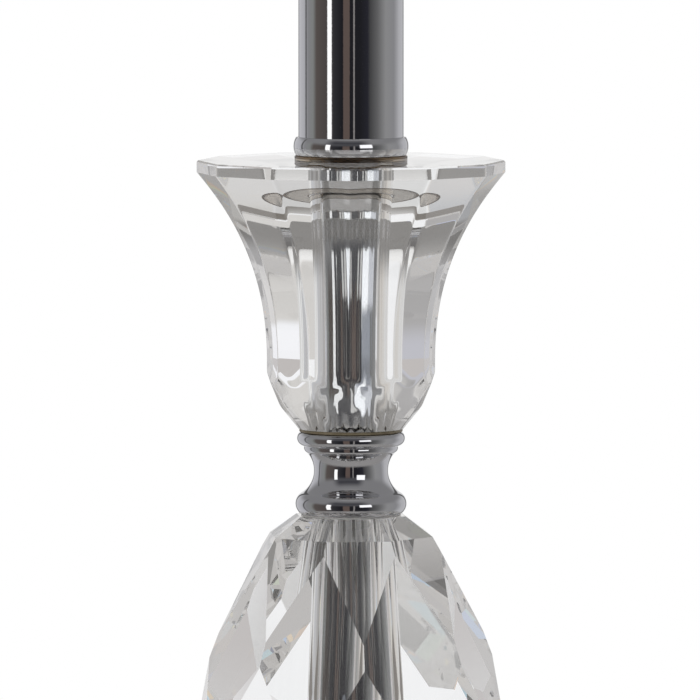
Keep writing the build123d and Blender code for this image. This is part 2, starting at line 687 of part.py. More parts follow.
# Insulating core: a deep cup with a well for the contact and two pockets under the floor
core_top = shell_top - SHELL_WALL
terminal_spots = [(0, TERMINAL_OFFSET), (0, -TERMINAL_OFFSET)]
with BuildPart() as holder_core:
    with BuildSketch(Plane.XY.offset(core_bottom)):
        Circle(core_radius)
    extrude(amount=core_top - core_bottom)
    with BuildSketch(Plane.XY.offset(lamp_bottom)):
        Circle(lamp_outside + SLIP_CLEARANCE)
    extrude(amount=core_top - lamp_bottom, mode=Mode.SUBTRACT)
    with BuildSketch(Plane.XY.offset(core_floor)):
        Circle(well_radius)
    extrude(amount=WELL_DEPTH, mode=Mode.SUBTRACT)
    with BuildSketch(Plane.XY.offset(core_bottom)):
        with Locations(*terminal_spots):
            Rectangle(TERMINAL_LENGTH + 2 * POCKET_CLEARANCE, TERMINAL_WIDTH + 2 * POCKET_CLEARANCE)
    extrude(amount=TERMINAL_HEIGHT, mode=Mode.SUBTRACT)
holder_core.part.label = "holder_core"

with BuildPart() as screw_shell:
    with BuildSketch(Plane.XY.offset(lamp_bottom)):
        Circle(lamp_outside)
        Circle(well_radius, mode=Mode.SUBTRACT)
    extrude(amount=LAMP_SHELL_WALL)
    with BuildSketch(Plane.XY.offset(lamp_bottom)):
        Circle(lamp_outside)
        Circle(LAMP_RADIUS, mode=Mode.SUBTRACT)
    extrude(amount=LAMP_DEPTH)
screw_shell.part.label = "screw_shell"

with BuildPart() as contact_foot:
    with BuildSketch(Plane.XY.offset(core_floor)):
        with Locations((-CONTACT_ROOT - CONTACT_FOOT_LENGTH / 2, 0)):
            Rectangle(CONTACT_FOOT_LENGTH, CONTACT_WIDTH)
    extrude(amount=CONTACT_THICKNESS)
contact_foot.part.label = "contact_foot"

# Contact tongue: rises from its root and turns down at the tip
tongue_start = -CONTACT_ROOT + MOVING_CLEARANCE
tongue_low = core_floor + MOVING_CLEARANCE
tongue_high = tongue_low + CONTACT_RISE
with BuildPart() as contact_tongue:
    with BuildSketch(Plane.XZ):
        with BuildLine():
            Polyline(
                (tongue_start, tongue_low),
                (tongue_start + CONTACT_REACH - CONTACT_TIP, tongue_high),
                (tongue_start + CONTACT_REACH, tongue_high - 0.5 * CONTACT_TIP),
                (tongue_start + CONTACT_REACH, tongue_high - 0.5 * CONTACT_TIP + CONTACT_THICKNESS),
                (tongue_start + CONTACT_REACH - CONTACT_TIP, tongue_high + CONTACT_THICKNESS),
                (tongue_start, tongue_low + CONTACT_THICKNESS),
                close=True,
            )
        make_face()
    extrude(amount=CONTACT_WIDTH / 2, both=True)
contact_tongue.part.label = "contact_tongue"

with BuildPart() as terminal_blocks:
    with BuildSketch(Plane.XY.offset(core_bottom)):
        with Locations(*terminal_spots):
            Rectangle(TERMINAL_LENGTH, TERMINAL_WIDTH)
    extrude(amount=TERMINAL_HEIGHT)
    with BuildSketch(Plane.XY.offset(core_bottom)):
        with Locations(*terminal_spots):
            Circle(SCREW_RADIUS + POCKET_CLEARANCE)
    extrude(amount=TERMINAL_HEIGHT, mode=Mode.SUBTRACT)
terminal_blocks.part.label = "terminal_blocks"

with BuildPart() as terminal_screws:
    with BuildSketch(Plane.XY.offset(core_bottom)):
        with Locations(*terminal_spots):
            Circle(SCREW_RADIUS)
    extrude(amount=0.9 * TERMINAL_HEIGHT)
    with BuildSketch(Plane.XY.offset(core_bottom)):
        with Locations(*terminal_spots):
            Circle(SCREW_HEAD_RADIUS)
    extrude(amount=-SCREW_HEAD_HEIGHT)
    with BuildSketch(Plane.XY.offset(core_bottom - SCREW_HEAD_HEIGHT)):
        with Locations(*terminal_spots):
            Rectangle(2 * SCREW_HEAD_RADIUS + 1, SCREW_SLOT)
    extrude(amount=0.5 * SCREW_HEAD_HEIGHT, mode=Mode.SUBTRACT)
terminal_screws.part.label = "terminal_screws"

# Shade ring: a flat flange and a gripped hub around the holder's skirt
ring_inside = SHELL_RADIUS + MOVING_CLEARANCE
hub_radius = ring_inside + RING_HUB_WALL
with BuildPart() as shade_ring:
    with BuildSketch(Plane.XY.offset(flange_top)):
        Circle(RING_RADIUS)
    extrude(amount=RING_FLANGE)
    fillet(shade_ring.edges().sort_by(Axis.Z)[-1], radius=0.45 * RING_FLANGE)
    with BuildSketch(Plane.XY.offset(flange_top)):
        Circle(hub_radius)
        with PolarLocations(hub_radius, RING_GRIPS):
            Circle(RING_GRIP_RADIUS)
    extrude(amount=RING_HUB_HEIGHT)
    with BuildSketch(Plane.XY.offset(flange_top)):
        Circle(ring_inside)
    extrude(amount=RING_HUB_HEIGHT, mode=Mode.SUBTRACT)
shade_ring.part.label = "shade_ring"

pieces = [
    felt_pad,
    base_shell,
    base_weight,
    base_washer,
    base_nut,
    cord_bush,
    base_collar,
    body_gasket_lower,
    crystal_body,
    body_gasket_upper,
    spool,
    cup_gasket_lower,
    crystal_cup,
    cup_gasket_upper,
    sleeve,
    threaded_rod,
    tube_seat,
    neck_tube,
    tube_cap,
    column_nut,
    holder_cap,
    grub_screw,
    holder_shell,
    holder_core,
    screw_shell,
    contact_foot,
    contact_tongue,
    terminal_blocks,
    terminal_screws,
    shade_ring,
]
for piece in pieces:
    export_step(piece.part, f"parts/{piece.part.label}.step")
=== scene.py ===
"""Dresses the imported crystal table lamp, adds its fine pieces and sets the studio and the camera."""

import logging
import math
from dataclasses import dataclass
from enum import Enum
from typing import Any, Sequence

import bmesh
import bpy
from mathutils import Matrix, Vector


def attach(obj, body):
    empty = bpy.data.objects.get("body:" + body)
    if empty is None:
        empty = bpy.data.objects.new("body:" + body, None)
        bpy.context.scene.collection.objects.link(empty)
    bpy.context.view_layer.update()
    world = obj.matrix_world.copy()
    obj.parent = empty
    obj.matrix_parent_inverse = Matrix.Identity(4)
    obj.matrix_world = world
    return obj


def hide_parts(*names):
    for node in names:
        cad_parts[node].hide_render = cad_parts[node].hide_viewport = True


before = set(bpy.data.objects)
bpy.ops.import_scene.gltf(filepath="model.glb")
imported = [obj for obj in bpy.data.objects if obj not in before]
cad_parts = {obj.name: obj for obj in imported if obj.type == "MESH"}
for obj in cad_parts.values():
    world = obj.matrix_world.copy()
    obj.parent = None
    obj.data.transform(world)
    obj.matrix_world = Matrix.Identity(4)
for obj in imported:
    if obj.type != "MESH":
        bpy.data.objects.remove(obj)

Point = tuple[float, float]
Colour = tuple[float, float, float]
Marks = Sequence[tuple[float, Colour]]

LOG = logging.getLogger("crystal_lamp")
MM = 0.001
DEGREES = math.degrees(1.0)
WHITE: Colour = (1.0, 1.0, 1.0)
CENTRE = Vector((0.0, 0.0, 0.0))
UP = Vector((0.0, 0.0, 1.0))
# Bearing of the lamp's front from +X, in degrees.
FRONT = -90.0
# Bearings at the two ends of a picture of the whole room, in degrees.
AROUND: Point = (-180.0, 180.0)
# In metres: how near two vertices merge, how near one counts as on a cut, and how flat an end face is.
WELD = 3e-6
CUT_REACH = 2e-6
FLATNESS = 1e-7


class Body(Enum):
    """The bodies that the added pieces ride on."""

    LAMP = "lamp"
    SHADE_RING = "shade_ring"


class Edge(Enum):
    """How sharp a crease has to be, in degrees, before its shading breaks."""

    TURNED = 20.0
    CUT = 6.0


class Wire:
    """A shader value on its way to a socket; arithmetic on it adds Math nodes."""

    def __init__(self, sheet: "NodeSheet", socket: bpy.types.NodeSocket) -> None:
        """Keeps the node sheet and the output socket that the value comes from."""
        self.sheet = sheet
        self.socket = socket

    def _math(self, operation: str, *values: Any) -> "Wire":
        """Adds one Math node; its inputs are numbers or wires."""
        return self.sheet.node("ShaderNodeMath", {"operation": operation}, dict(enumerate(values)))

    def __add__(self, other: Any) -> "Wire":
        """Sum of two values."""
        return self._math("ADD", self, other)

    __radd__ = __add__

    def __sub__(self, other: Any) -> "Wire":
        """Difference of two values."""
        return self._math("SUBTRACT", self, other)

    def __rsub__(self, other: Any) -> "Wire":
        """A plain number less this value."""
        return self._math("SUBTRACT", other, self)

    def __mul__(self, other: Any) -> "Wire":
        """Product of two values."""
        return self._math("MULTIPLY", self, other)

    __rmul__ = __mul__

    def __neg__(self) -> "Wire":
        """The value with its sign turned."""
        return self._math("MULTIPLY", self, -1.0)

    def angle_from(self, other: "Wire") -> "Wire":
        """Bearing of this share against another, in degrees."""
        return self._math("ARCTAN2", self, other) * DEGREES

    def slope(self) -> "Wire":
        """Angle whose sine this value is, in degrees."""
        return self._math("ARCSINE", self) * DEGREES

    def rest(self) -> "Wire":
        """What is left above the last whole number."""
        return self._math("FRACT", self)

    def under(self, limit: float) -> "Wire":
        """1 where the value is under a limit, otherwise 0."""
        return self._math("LESS_THAN", self, limit)

    def larger(self, other: Any) -> "Wire":
        """The larger of two values."""
        return self._math("MAXIMUM", self, other)

    def ramp(self, low: float, high: float) -> "Wire":
        """Smooth rise from 0 at low to 1 at high; low may be the larger."""
        values = {"Value": self, "From Min": low, "From Max": high}
        return self.sheet.node("ShaderNodeMapRange", {"interpolation_type": "SMOOTHSTEP"}, values)

    def window(self, low: float, high: float, soft: float) -> "Wire":
        """1 between two limits and 0 outside them, with soft sides."""
        return self.ramp(low - soft, low + soft) * self.ramp(high + soft, high - soft)


class NodeSheet:
    """A node tree that is filled by one method."""

    def __init__(self, tree: bpy.types.NodeTree) -> None:
        """Clears the tree."""
        self.tree = tree
        tree.nodes.clear()

    def node(self, kind: str, settings: dict[str, Any] | None = None, inputs: dict[Any, Any] | None = None,
             output: int | str | None = 0) -> Wire | None:
        """Adds a node.

        Args:
            kind: The node's type.
            settings: Its properties by name.
            inputs: Its sockets by name or number, each a wire or a value.
            output: Which output is handed back, None for a node without one.

        Returns:
            The chosen output.
        """
        made = self.tree.nodes.new(kind)
        for key, value in (settings or {}).items():
            setattr(made, key, value)
        for key, value in (inputs or {}).items():
            if isinstance(value, Wire):
                self.tree.links.new(value.socket, made.inputs[key])
            else:
                made.inputs[key].default_value = value
        return None if output is None else Wire(self, made.outputs[output])

    def place(self, stretch: Colour = (1.0, 1.0, 1.0)) -> Wire:
        """Object coordinates, stretched on each axis."""
        raw = self.node("ShaderNodeTexCoord", output="Object")
        return self.node("ShaderNodeMapping", {}, {"Vector": raw, "Scale": stretch})

    def part(self, where: Wire, axis: str) -> Wire:
        """One coordinate of a vector."""
        return self.node("ShaderNodeSeparateXYZ", {}, {"Vector": where}, axis)

    def length(self, where: Wire) -> Wire:
        """Length of a vector."""
        return self.node("ShaderNodeVectorMath", {"operation": "LENGTH"}, {0: where}, "Value")

    def noise(self, where: Wire, size: float, detail: float = 2.0) -> Wire:
        """Cloudy noise between 0 and 1, with clouds of a size in metres."""
        return self.node("ShaderNodeTexNoise", {}, {"Vector": where, "Scale": 1.0 / size, "Detail": detail})

    def specks(self, where: Wire, size: float, fill: float) -> Wire:
        """Round specks, one to a cell of a size in metres; fill is their radius as a share of it."""
        near = self.node("ShaderNodeTexVoronoi", {}, {"Vector": where, "Scale": 1.0 / size}, "Distance")
        return near.ramp(fill, 0.4 * fill)

    def colours(self, marks: Marks, position: Wire, span: Point = (0.0, 1.0)) -> Wire:
        """Colour at a position among marks.

        Args:
            marks: Values in order, each with its colour.
            position: The position, from 0 to 1.
            span: The values at positions 0 and 1.

        Returns:
            The colour.
        """
        made = self.node("ShaderNodeValToRGB", {}, {"Fac": position})
        ramp = made.socket.node.color_ramp
        while len(ramp.elements) < len(marks):
            ramp.elements.new(0.5)
        for element, (value, colour) in zip(ramp.elements, marks):
            element.position = (value - span[0]) / (span[1] - span[0])
            element.color = (*colour, 1.0)
        return made

    def blend(self, share: Wire | float, first: Any, second: Any) -> Wire:
        """Mixes two colours, wires or red, green and blue; the share is that of the second."""
        ends = [c if isinstance(c, Wire) else (*c, 1.0) for c in (first, second)]
        return self.node("ShaderNodeMix", {"data_type": "RGBA"}, {0: share, 6: ends[0], 7: ends[1]}, 2)

    def bump(self, height: Wire, distance: float) -> Wire:
        """A normal tilted by a height, of which 1 stands for a distance in metres."""
        return self.node("ShaderNodeBump", {}, {"Height": height, "Distance": distance, "Strength": 1.0})

    def surface(self, inputs: dict[str, Any]) -> None:
        """Ends the sheet in one Principled shader with these sockets."""
        shader = self.node("ShaderNodeBsdfPrincipled", {}, inputs)
        self.end("ShaderNodeOutputMaterial", shader)

    def end(self, kind: str, shader: Wire) -> None:
        """Joins a shader to an output node of a kind."""
        self.node(kind, {}, {"Surface": shader}, None)


@dataclass(frozen=True)
class Finish:
    """A surface of the scene."""

    name: str

    def dress(self, sheet: NodeSheet) -> None:
        """Fills the material's node sheet."""
        raise NotImplementedError

    def material(self) -> bpy.types.Material:
        """The finish as a material, made on its first use.

        Returns:
            The material.
        """
        made = bpy.data.materials.get(self.name)
        if made is None:
            made = bpy.data.materials.new(self.name)
            made.use_nodes = True
            self.dress(NodeSheet(made.node_tree))
        return made


@dataclass(frozen=True)
class Plated(Finish):
    """Bright plating with a little dust, a few wiped smears and the finest pits."""

    tint: Colour = (0.62, 0.62, 0.635)
    gloss: float = 0.035
    dust: float = 0.35
    pits: float = 3e-6
    dust_tint: Colour = (0.75, 0.74, 0.72)

    def dress(self, sheet: NodeSheet) -> None:
        """Fills the material's node sheet."""
        where = sheet.place()
        patches = sheet.noise(where, size=0.012).ramp(0.5, 0.8)
        dust = sheet.specks(where, size=0.0009, fill=0.14) * patches * self.dust
        smear = sheet.noise(sheet.place((1.0, 1.0, 0.25)), size=0.009, detail=4.0).ramp(0.4, 0.8)
        sheet.surface({
            "Base Color": sheet.blend(dust, self.tint, self.dust_tint),
            "Metallic": 1.0 - 0.55 * dust,
            "Roughness": self.gloss + 0.02 * smear + 0.5 * dust,
            "Normal": sheet.bump(sheet.noise(where, size=0.0006, detail=3.0), self.pits),
        })


@dataclass(frozen=True)
class Crystal(Finish):
    """Clear cut crystal, polished, with the faintest wipe marks."""

    tint: Colour = (0.985, 0.99, 0.99)
    wiped: Colour = (0.97, 0.978, 0.975)
    bend: float = 1.53

    def dress(self, sheet: NodeSheet) -> None:
        """Fills the material's node sheet."""
        cloud = sheet.noise(sheet.place(), size=0.02).ramp(0.3, 0.8)
        sheet.surface({
            "Base Color": sheet.blend(cloud, self.tint, self.wiped),
            "Roughness": 0.006 * cloud,
            "IOR": self.bend,
            "Transmission Weight": 1.0,
        })


@dataclass(frozen=True)
class Soft(Finish):
    """A soft gasket with a dull, slightly mottled surface."""

    tint: Colour
    shade: Colour
    gloss: float

    def dress(self, sheet: NodeSheet) -> None:
        """Fills the material's node sheet."""
        where = sheet.place()
        mottle = sheet.noise(where, size=0.003, detail=4.0).ramp(0.3, 0.75)
        sheet.surface({
            "Base Color": sheet.blend(mottle, self.tint, self.shade),
            "Roughness": self.gloss + 0.2 * mottle,
            "Normal": sheet.bump(sheet.noise(where, size=0.0004), distance=0.00004),
        })


@dataclass(frozen=True)
class Seal(Finish):
    """A clear soft amber ring, darker brown along the edges of both faces and along the top of its outer
    wall; lengths in millimetres.
    """

    inner: float = 7.9
    outer: float = 15.05
    top: float = 253.2
    dark_edge_widths: Point = (0.5, 1.5)
    skin: Point = (0.05, 0.1)
    line: Point = (0.4, 0.65)
    wander: float = 0.6
    tint: Colour = (0.6, 0.54, 0.46)
    edge: Colour = (0.13, 0.075, 0.035)
    bend: float = 1.42

    def dress(self, sheet: NodeSheet) -> None:
        """Fills the material's node sheet."""
        where = sheet.place()
        reach = sheet.length(sheet.place((1.0, 1.0, 0.0))) * (1.0 / MM)
        height = sheet.part(where, "Z") * (1.0 / MM)
        wander = self.wander * sheet.noise(where, size=0.004)
        wall = reach.ramp(self.outer - self.skin[1], self.outer - self.skin[0])
        outside = (reach + wander).ramp(self.outer - self.dark_edge_widths[1], self.outer - self.skin[1])
        inside = (reach - wander).ramp(self.inner + self.dark_edge_widths[0], self.inner)
        line = (height + 0.2 * wander).ramp(self.top - self.line[1], self.top - self.line[0])
        # Darker brown towards the inner and outer edges of the faces and along the top of the outer wall.
        brown = outside.larger(inside) * (1.0 - wall) + wall * line
        sheet.surface({
            "Base Color": sheet.blend(brown, self.tint, self.edge),
            "Roughness": 0.12 + 0.2 * brown,
            "IOR": self.bend,
            "Transmission Weight": 1.0,
        })


@dataclass(frozen=True)
class Metal(Finish):
    """Plain worked metal with fine tool marks and some tarnish."""

    tint: Colour = (0.6, 0.6, 0.58)
    tarnish: Colour = (0.36, 0.35, 0.33)
    gloss: float = 0.28

    def dress(self, sheet: NodeSheet) -> None:
        """Fills the material's node sheet."""
        stain = sheet.noise(sheet.place(), size=0.004, detail=4.0).ramp(0.45, 0.85)
        marks = sheet.noise(sheet.place((1.0, 1.0, 14.0)), size=0.004, detail=3.0)
        sheet.surface({
            "Base Color": sheet.blend(0.7 * stain, self.tint, self.tarnish),
            "Metallic": 1.0,
            "Roughness": self.gloss + 0.18 * stain + 0.08 * marks,
            "Normal": sheet.bump(marks, distance=0.00002),
        })


@dataclass(frozen=True)
class Cast(Finish):
    """Painted cast iron with a pebbled skin."""

    tint: Colour = (0.035, 0.035, 0.037)
    worn: Colour = (0.09, 0.085, 0.08)

    def dress(self, sheet: NodeSheet) -> None:
        """Fills the material's node sheet."""
        where = sheet.place()
        pebble = sheet.noise(where, size=0.0016, detail=5.0)
        worn = sheet.noise(where, size=0.01, detail=3.0).ramp(0.55, 0.8)
        sheet.surface({
            "Base Color": sheet.blend(worn, self.tint, self.worn),
            "Roughness": 0.55 + 0.25 * pebble,
            "Normal": sheet.bump(pebble, distance=0.0003),
        })


@dataclass(frozen=True)
class Moulded(Finish):
    """Moulded plastic with a fine even grain."""

    tint: Colour = (0.03, 0.03, 0.03)
    gloss: float = 0.4

    def dress(self, sheet: NodeSheet) -> None:
        """Fills the material's node sheet."""
        where = sheet.place()
        cloud = sheet.noise(where, size=0.008, detail=3.0)
        lighter = tuple(min(1.0, 1.25 * part + 0.01) for part in self.tint)
        sheet.surface({
            "Base Color": sheet.blend(cloud.ramp(0.3, 0.9), self.tint, lighter),
            "Roughness": self.gloss + 0.12 * cloud,
            "Normal": sheet.bump(sheet.noise(where, size=0.0005), distance=0.00003),
        })


@dataclass(frozen=True)
class Felt(Finish):
    """Pressed wool felt with short loose fibres."""

    tint: Colour = (0.028, 0.036, 0.03)
    lighter: Colour = (0.085, 0.1, 0.09)

    def dress(self, sheet: NodeSheet) -> None:
        """Fills the material's node sheet."""
        where = sheet.place()
        fibre = sheet.noise(where, size=0.0006, detail=6.0)
        sheet.surface({
            "Base Color": sheet.blend(fibre.ramp(0.35, 0.75), self.tint, self.lighter),
            "Roughness": 0.9 + 0.1 * sheet.noise(where, size=0.006, detail=3.0),
            "Normal": sheet.bump(fibre, distance=0.0005),
            "Sheen Weight": 0.35,
        })


CHROME = Plated("polished_chrome")
BRIGHT = Plated("sleeve_steel", (0.6, 0.6, 0.6), 0.05, 0.2, 5e-6)
CRYSTAL = Crystal("cut_crystal")
AMBER = Seal("brown_seal")
AMBER_FOOT = Soft("foot_seal", (0.3, 0.25, 0.16), (0.22, 0.18, 0.11), 0.4)
CLEAR = Soft("pale_seal", (0.9, 0.89, 0.87), (0.82, 0.81, 0.79), 0.35)
ZINC = Metal("zinc_plating")
BRASS = Metal("plain_brass", (0.72, 0.5, 0.2), (0.4, 0.26, 0.1), 0.22)
IRON = Cast("painted_iron")
BUSH = Moulded("black_bush")
CORE = Moulded("core_thermoset", (0.78, 0.75, 0.68), 0.3)
FELT = Felt("wool_felt")

CARRIED: dict[Finish, tuple[str, ...]] = {
    FELT: ("felt_pad",),
    IRON: ("base_weight",),
    ZINC: ("base_washer", "base_nut", "threaded_rod", "grub_screw", "terminal_screws"),
    BUSH: ("cord_bush",),
    CLEAR: ("body_gasket_lower", "body_gasket_upper"),
    AMBER: ("cup_gasket_upper",),
    AMBER_FOOT: ("cup_gasket_lower",),
    CHROME: ("base_shell", "base_collar", "spool", "tube_seat", "neck_tube", "tube_cap", "column_nut",
             "holder_cap", "holder_shell", "shade_ring"),
    BRIGHT: ("sleeve",),
    CORE: ("holder_core",),
    BRASS: ("screw_shell", "contact_foot", "contact_tongue", "terminal_blocks"),
    CRYSTAL: ("crystal_body", "crystal_cup"),
}


def add_object(name: str, data: bpy.types.ID) -> bpy.types.Object:
    """Adds an object to the scene.

    Args:
        name: The object's name.
        data: Its mesh, light or camera.

    Returns:
        The object.
    """
    made = bpy.data.objects.new(name, data)
    bpy.context.scene.collection.objects.link(made)
    return made


def point_at(made: bpy.types.Object, target: Vector) -> None:
    """Turns a camera or a lamp towards a point."""
    made.rotation_euler = (target - made.location).to_track_quat("-Z", "Y").to_euler()


class Piece:
    """A mesh under construction that ends as an object of the lamp; its methods take millimetres."""

    def __init__(self) -> None:
        """Starts with an empty mesh."""
        self.mesh = bmesh.new()

    def tidy(self) -> None:
        """Merges doubled vertices and turns the faces outwards."""
        bmesh.ops.remove_doubles(self.mesh, verts=self.mesh.verts[:], dist=WELD)
        bmesh.ops.recalc_face_normals(self.mesh, faces=self.mesh.faces[:])

    def cut(self, point: Vector, normal: Vector, closed: bool = True) -> None:
        """Grinds off what lies beyond a plane.

        Args:
            point: A point on the plane.
            normal: The plane's outward direction.
            closed: Whether the cut gets a face.
        """
        everything = self.mesh.verts[:] + self.mesh.edges[:] + self.mesh.faces[:]
        done = bmesh.ops.bisect_plane(
            self.mesh, geom=everything, dist=CUT_REACH, plane_co=point * MM, plane_no=normal,
            clear_outer=True)
        if closed:
            edges = [item for item in done["geom_cut"] if isinstance(item, bmesh.types.BMEdge)]
            bmesh.ops.holes_fill(self.mesh, edges=edges, sides=0)

    def tier(self, count: int, turn: float, upper: Point, lower: Point) -> None:
        """Grinds a ring of even facets.

        Args:
            count: Number of facets.
            turn: Angle of the first facet's direction from +X, in degrees.
            upper: Distance from the axis and height of a point on the facets.
            lower: The same for a lower point.
        """
        for number in range(count):
            angle = math.radians(turn + 360.0 * number / count)
            out = Vector((math.cos(angle), math.sin(angle), 0.0))
            normal = out * (upper[1] - lower[1]) + UP * (lower[0] - upper[0])
            self.cut(out * upper[0] + UP * upper[1], normal.normalized())

    @staticmethod
    def lies_at(item: bmesh.types.BMEdge | bmesh.types.BMFace, height: float) -> bool:
        """Whether an edge or a face lies flat at a height."""
        return all(abs(vert.co.z - height * MM) < FLATNESS for vert in item.verts)

    def drill(self, radius: float, low: float, high: float, sides: int = 128) -> None:
        """Opens a round hole through the flat ends of a solid.

        Args:
            radius: The hole's radius.
            low: Height of the lower end face.
            high: Height of the upper end face.
            sides: Sides of the hole.
        """
        rings = []
        for height in (low, high):
            ends = [face for face in self.mesh.faces if self.lies_at(face, height)]
            bmesh.ops.delete(self.mesh, geom=ends, context="FACES_ONLY")
            rim = [edge for edge in self.mesh.edges if not edge.is_manifold and self.lies_at(edge, height)]
            spot = Matrix.Translation(UP * (height * MM))
            ring = bmesh.ops.create_circle(self.mesh, segments=sides, radius=radius * MM, matrix=spot)
            ring_edges = list({edge for vert in ring["verts"] for edge in vert.link_edges})
            rings += ring_edges
            bmesh.ops.triangle_fill(self.mesh, use_beauty=True, use_dissolve=False, edges=rim + ring_edges)
        bmesh.ops.bridge_loops(self.mesh, edges=rings)

    def finish(self, name: str, look: Finish, slot: str, *replaces: str, body: Body = Body.LAMP,
               edge: Edge = Edge.TURNED) -> None:
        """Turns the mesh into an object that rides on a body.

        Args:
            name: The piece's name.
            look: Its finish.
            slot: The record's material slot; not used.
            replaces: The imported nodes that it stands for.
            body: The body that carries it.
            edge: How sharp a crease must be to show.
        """
        self.tidy()
        for face in self.mesh.faces:
            face.smooth = True
        data = bpy.data.meshes.new(name)
        self.mesh.to_mesh(data)
        self.mesh.free()
        data.set_sharp_from_angle(angle=math.radians(edge.value))
        data.materials.append(look.material())
        made = add_object(name, data)
        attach(made, body.value)
        if replaces:
            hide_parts(*replaces)
        LOG.info("%s: %d faces, rides on %s", name, len(data.polygons), body.value)


class Lathe(Piece):
    """A turned piece: an outline in the XZ plane that is swept round the column's axis."""

    def __init__(self, start: Point) -> None:
        """Starts the outline at a radius and a height."""
        super().__init__()
        self.tip = self.mesh.verts.new((start[0] * MM, 0.0, start[1] * MM))
        self.first = self.tip

    @classmethod
    def ring(cls, inner: float, outer: float, low: float, high: float) -> "Lathe":
        """Draws the closed outline of a plain ring."""
        return cls((inner, low)).line((outer, low), (outer, high), (inner, high)).close()

    def at(self) -> Vector:
        """The outline's end as radius and height."""
        return Vector((self.tip.co.x, self.tip.co.z)) / MM

    def line(self, *points: Point) -> "Lathe":
        """Goes straight to each point in turn.

        Args:
            points: Radius and height of each point.

        Returns:
            The outline itself.
        """
        for radius, height in points:
            made = bmesh.ops.extrude_vert_indiv(self.mesh, verts=[self.tip])
            self.tip = made["verts"][0]
            self.tip.co = (radius * MM, 0.0, height * MM)
        return self

    def swing(self, centre: Vector, sweep: float, step: float) -> "Lathe":
        """Goes round a centre.

        Args:
            centre: The centre's radius and height.
            sweep: Angle in radians, positive from the radius towards the height.
            step: Largest angle of one segment, in degrees.

        Returns:
            The outline itself.
        """
        steps = max(2, math.ceil(abs(math.degrees(sweep)) / step))
        middle = (centre.x * MM, 0.0, centre.y * MM)
        made = bmesh.ops.spin(
            self.mesh, geom=[self.tip], cent=middle, axis=(0.0, 1.0, 0.0), angle=-sweep, steps=steps)
        self.tip = next(item for item in made["geom_last"] if isinstance(item, bmesh.types.BMVert))
        return self

    def arc(self, through: Point, to: Point, step: float = 5.0) -> "Lathe":
        """Goes along the circle through a middle point to an end point.

        Args:
            through: A point on the way.
            to: The end point.
            step: Largest angle of one segment, in degrees.

        Returns:
            The outline itself.
        """
        start, middle, end = self.at(), Vector(through), Vector(to)
        first, second = middle - start, end - start
        area = 2.0 * (first.x * second.y - first.y * second.x)
        centre = start + Vector((
            (second.y * first.length_squared - first.y * second.length_squared) / area,
            (first.x * second.length_squared - second.x * first.length_squared) / area))
        turn = math.copysign(1.0, area)
        begin = math.atan2(start.y - centre.y, start.x - centre.x)
        finish = math.atan2(end.y - centre.y, end.x - centre.x)
        return self.swing(centre, turn * ((turn * (finish - begin)) % math.tau), step)

    def round_off(self, heading: Point, to: Point, step: float = 1.0) -> "Lathe":
        """Goes along the circle that leaves in a heading and reaches a point.

        Args:
            heading: Direction at the start.
            to: The end point.
            step: Largest angle of one segment, in degrees.

        Returns:
            The outline itself.
        """
        start, end, ahead = self.at(), Vector(to), Vector(heading).normalized()
        side = Vector((-ahead.y, ahead.x))
        chord = end - start
        radius = chord.length_squared / (2.0 * chord.dot(side))
        sweep = 2.0 * math.atan2(chord.dot(side), chord.dot(ahead))
        return self.swing(start + side * radius, sweep, step)

    def ease(self, rounds: int) -> "Lathe":
        """Lets the outline's curvature flow from one stretch into the next.

        Args:
            rounds: How often each point moves towards its neighbours' middle.

        Returns:
            The outline itself.
        """
        inner = [vert for vert in self.mesh.verts if len(vert.link_edges) == 2]
        for _ in range(rounds):
            bmesh.ops.smooth_vert(self.mesh, verts=inner, factor=0.5, use_axis_x=True, use_axis_z=True)
        return self

    def close(self) -> "Lathe":
        """Joins the outline's end to its start."""
        self.mesh.edges.new((self.tip, self.first))
        return self

    def soften(self, radius: float, segments: int = 2, limit: float = 40.0) -> "Lathe":
        """Rounds the outline's corners.

        Args:
            radius: Size of the rounding.
            segments: Segments of a rounding.
            limit: Corners flatter than this many degrees stay.

        Returns:
            The outline itself.
        """
        corners = []
        for vert in self.mesh.verts:
            if len(vert.link_edges) == 2:
                ways = [edge.other_vert(vert).co - vert.co for edge in vert.link_edges]
                if math.degrees(math.pi - ways[0].angle(ways[1])) > limit:
                    corners.append(vert)
        bmesh.ops.bevel(self.mesh, geom=corners, offset=radius * MM, segments=segments, profile=0.5,
                        affect="VERTICES", material=-1, clamp_overlap=True)
        return self

    def sweep(self, steps: int = 128) -> "Lathe":
        """Spins the outline round the axis.

        Args:
            steps: Sides of the turned piece.

        Returns:
            The piece itself.
        """
        outline = self.mesh.verts[:] + self.mesh.edges[:]
        bmesh.ops.spin(
            self.mesh, geom=outline, cent=CENTRE, axis=UP, angle=math.tau, steps=steps, use_merge=True)
        return self

    def wind(self, turns: float, pitch: float, steps: int = 72) -> list[bmesh.types.BMVert]:
        """Winds the outline up round the axis as a screw.

        Args:
            turns: Number of turns.
            pitch: Rise of one turn.
            steps: Segments of one turn.

        Returns:
            The vertices at the two ends of the screw.
        """
        ends = self.mesh.verts[:]
        count = round(turns * steps)
        made = bmesh.ops.spin(
            self.mesh, geom=ends + self.mesh.edges[:], cent=CENTRE, axis=UP, dvec=UP * (pitch * MM / steps),
            angle=math.tau * count / steps, steps=count)
        return ends + [item for item in made["geom_last"] if isinstance(item, bmesh.types.BMVert)]


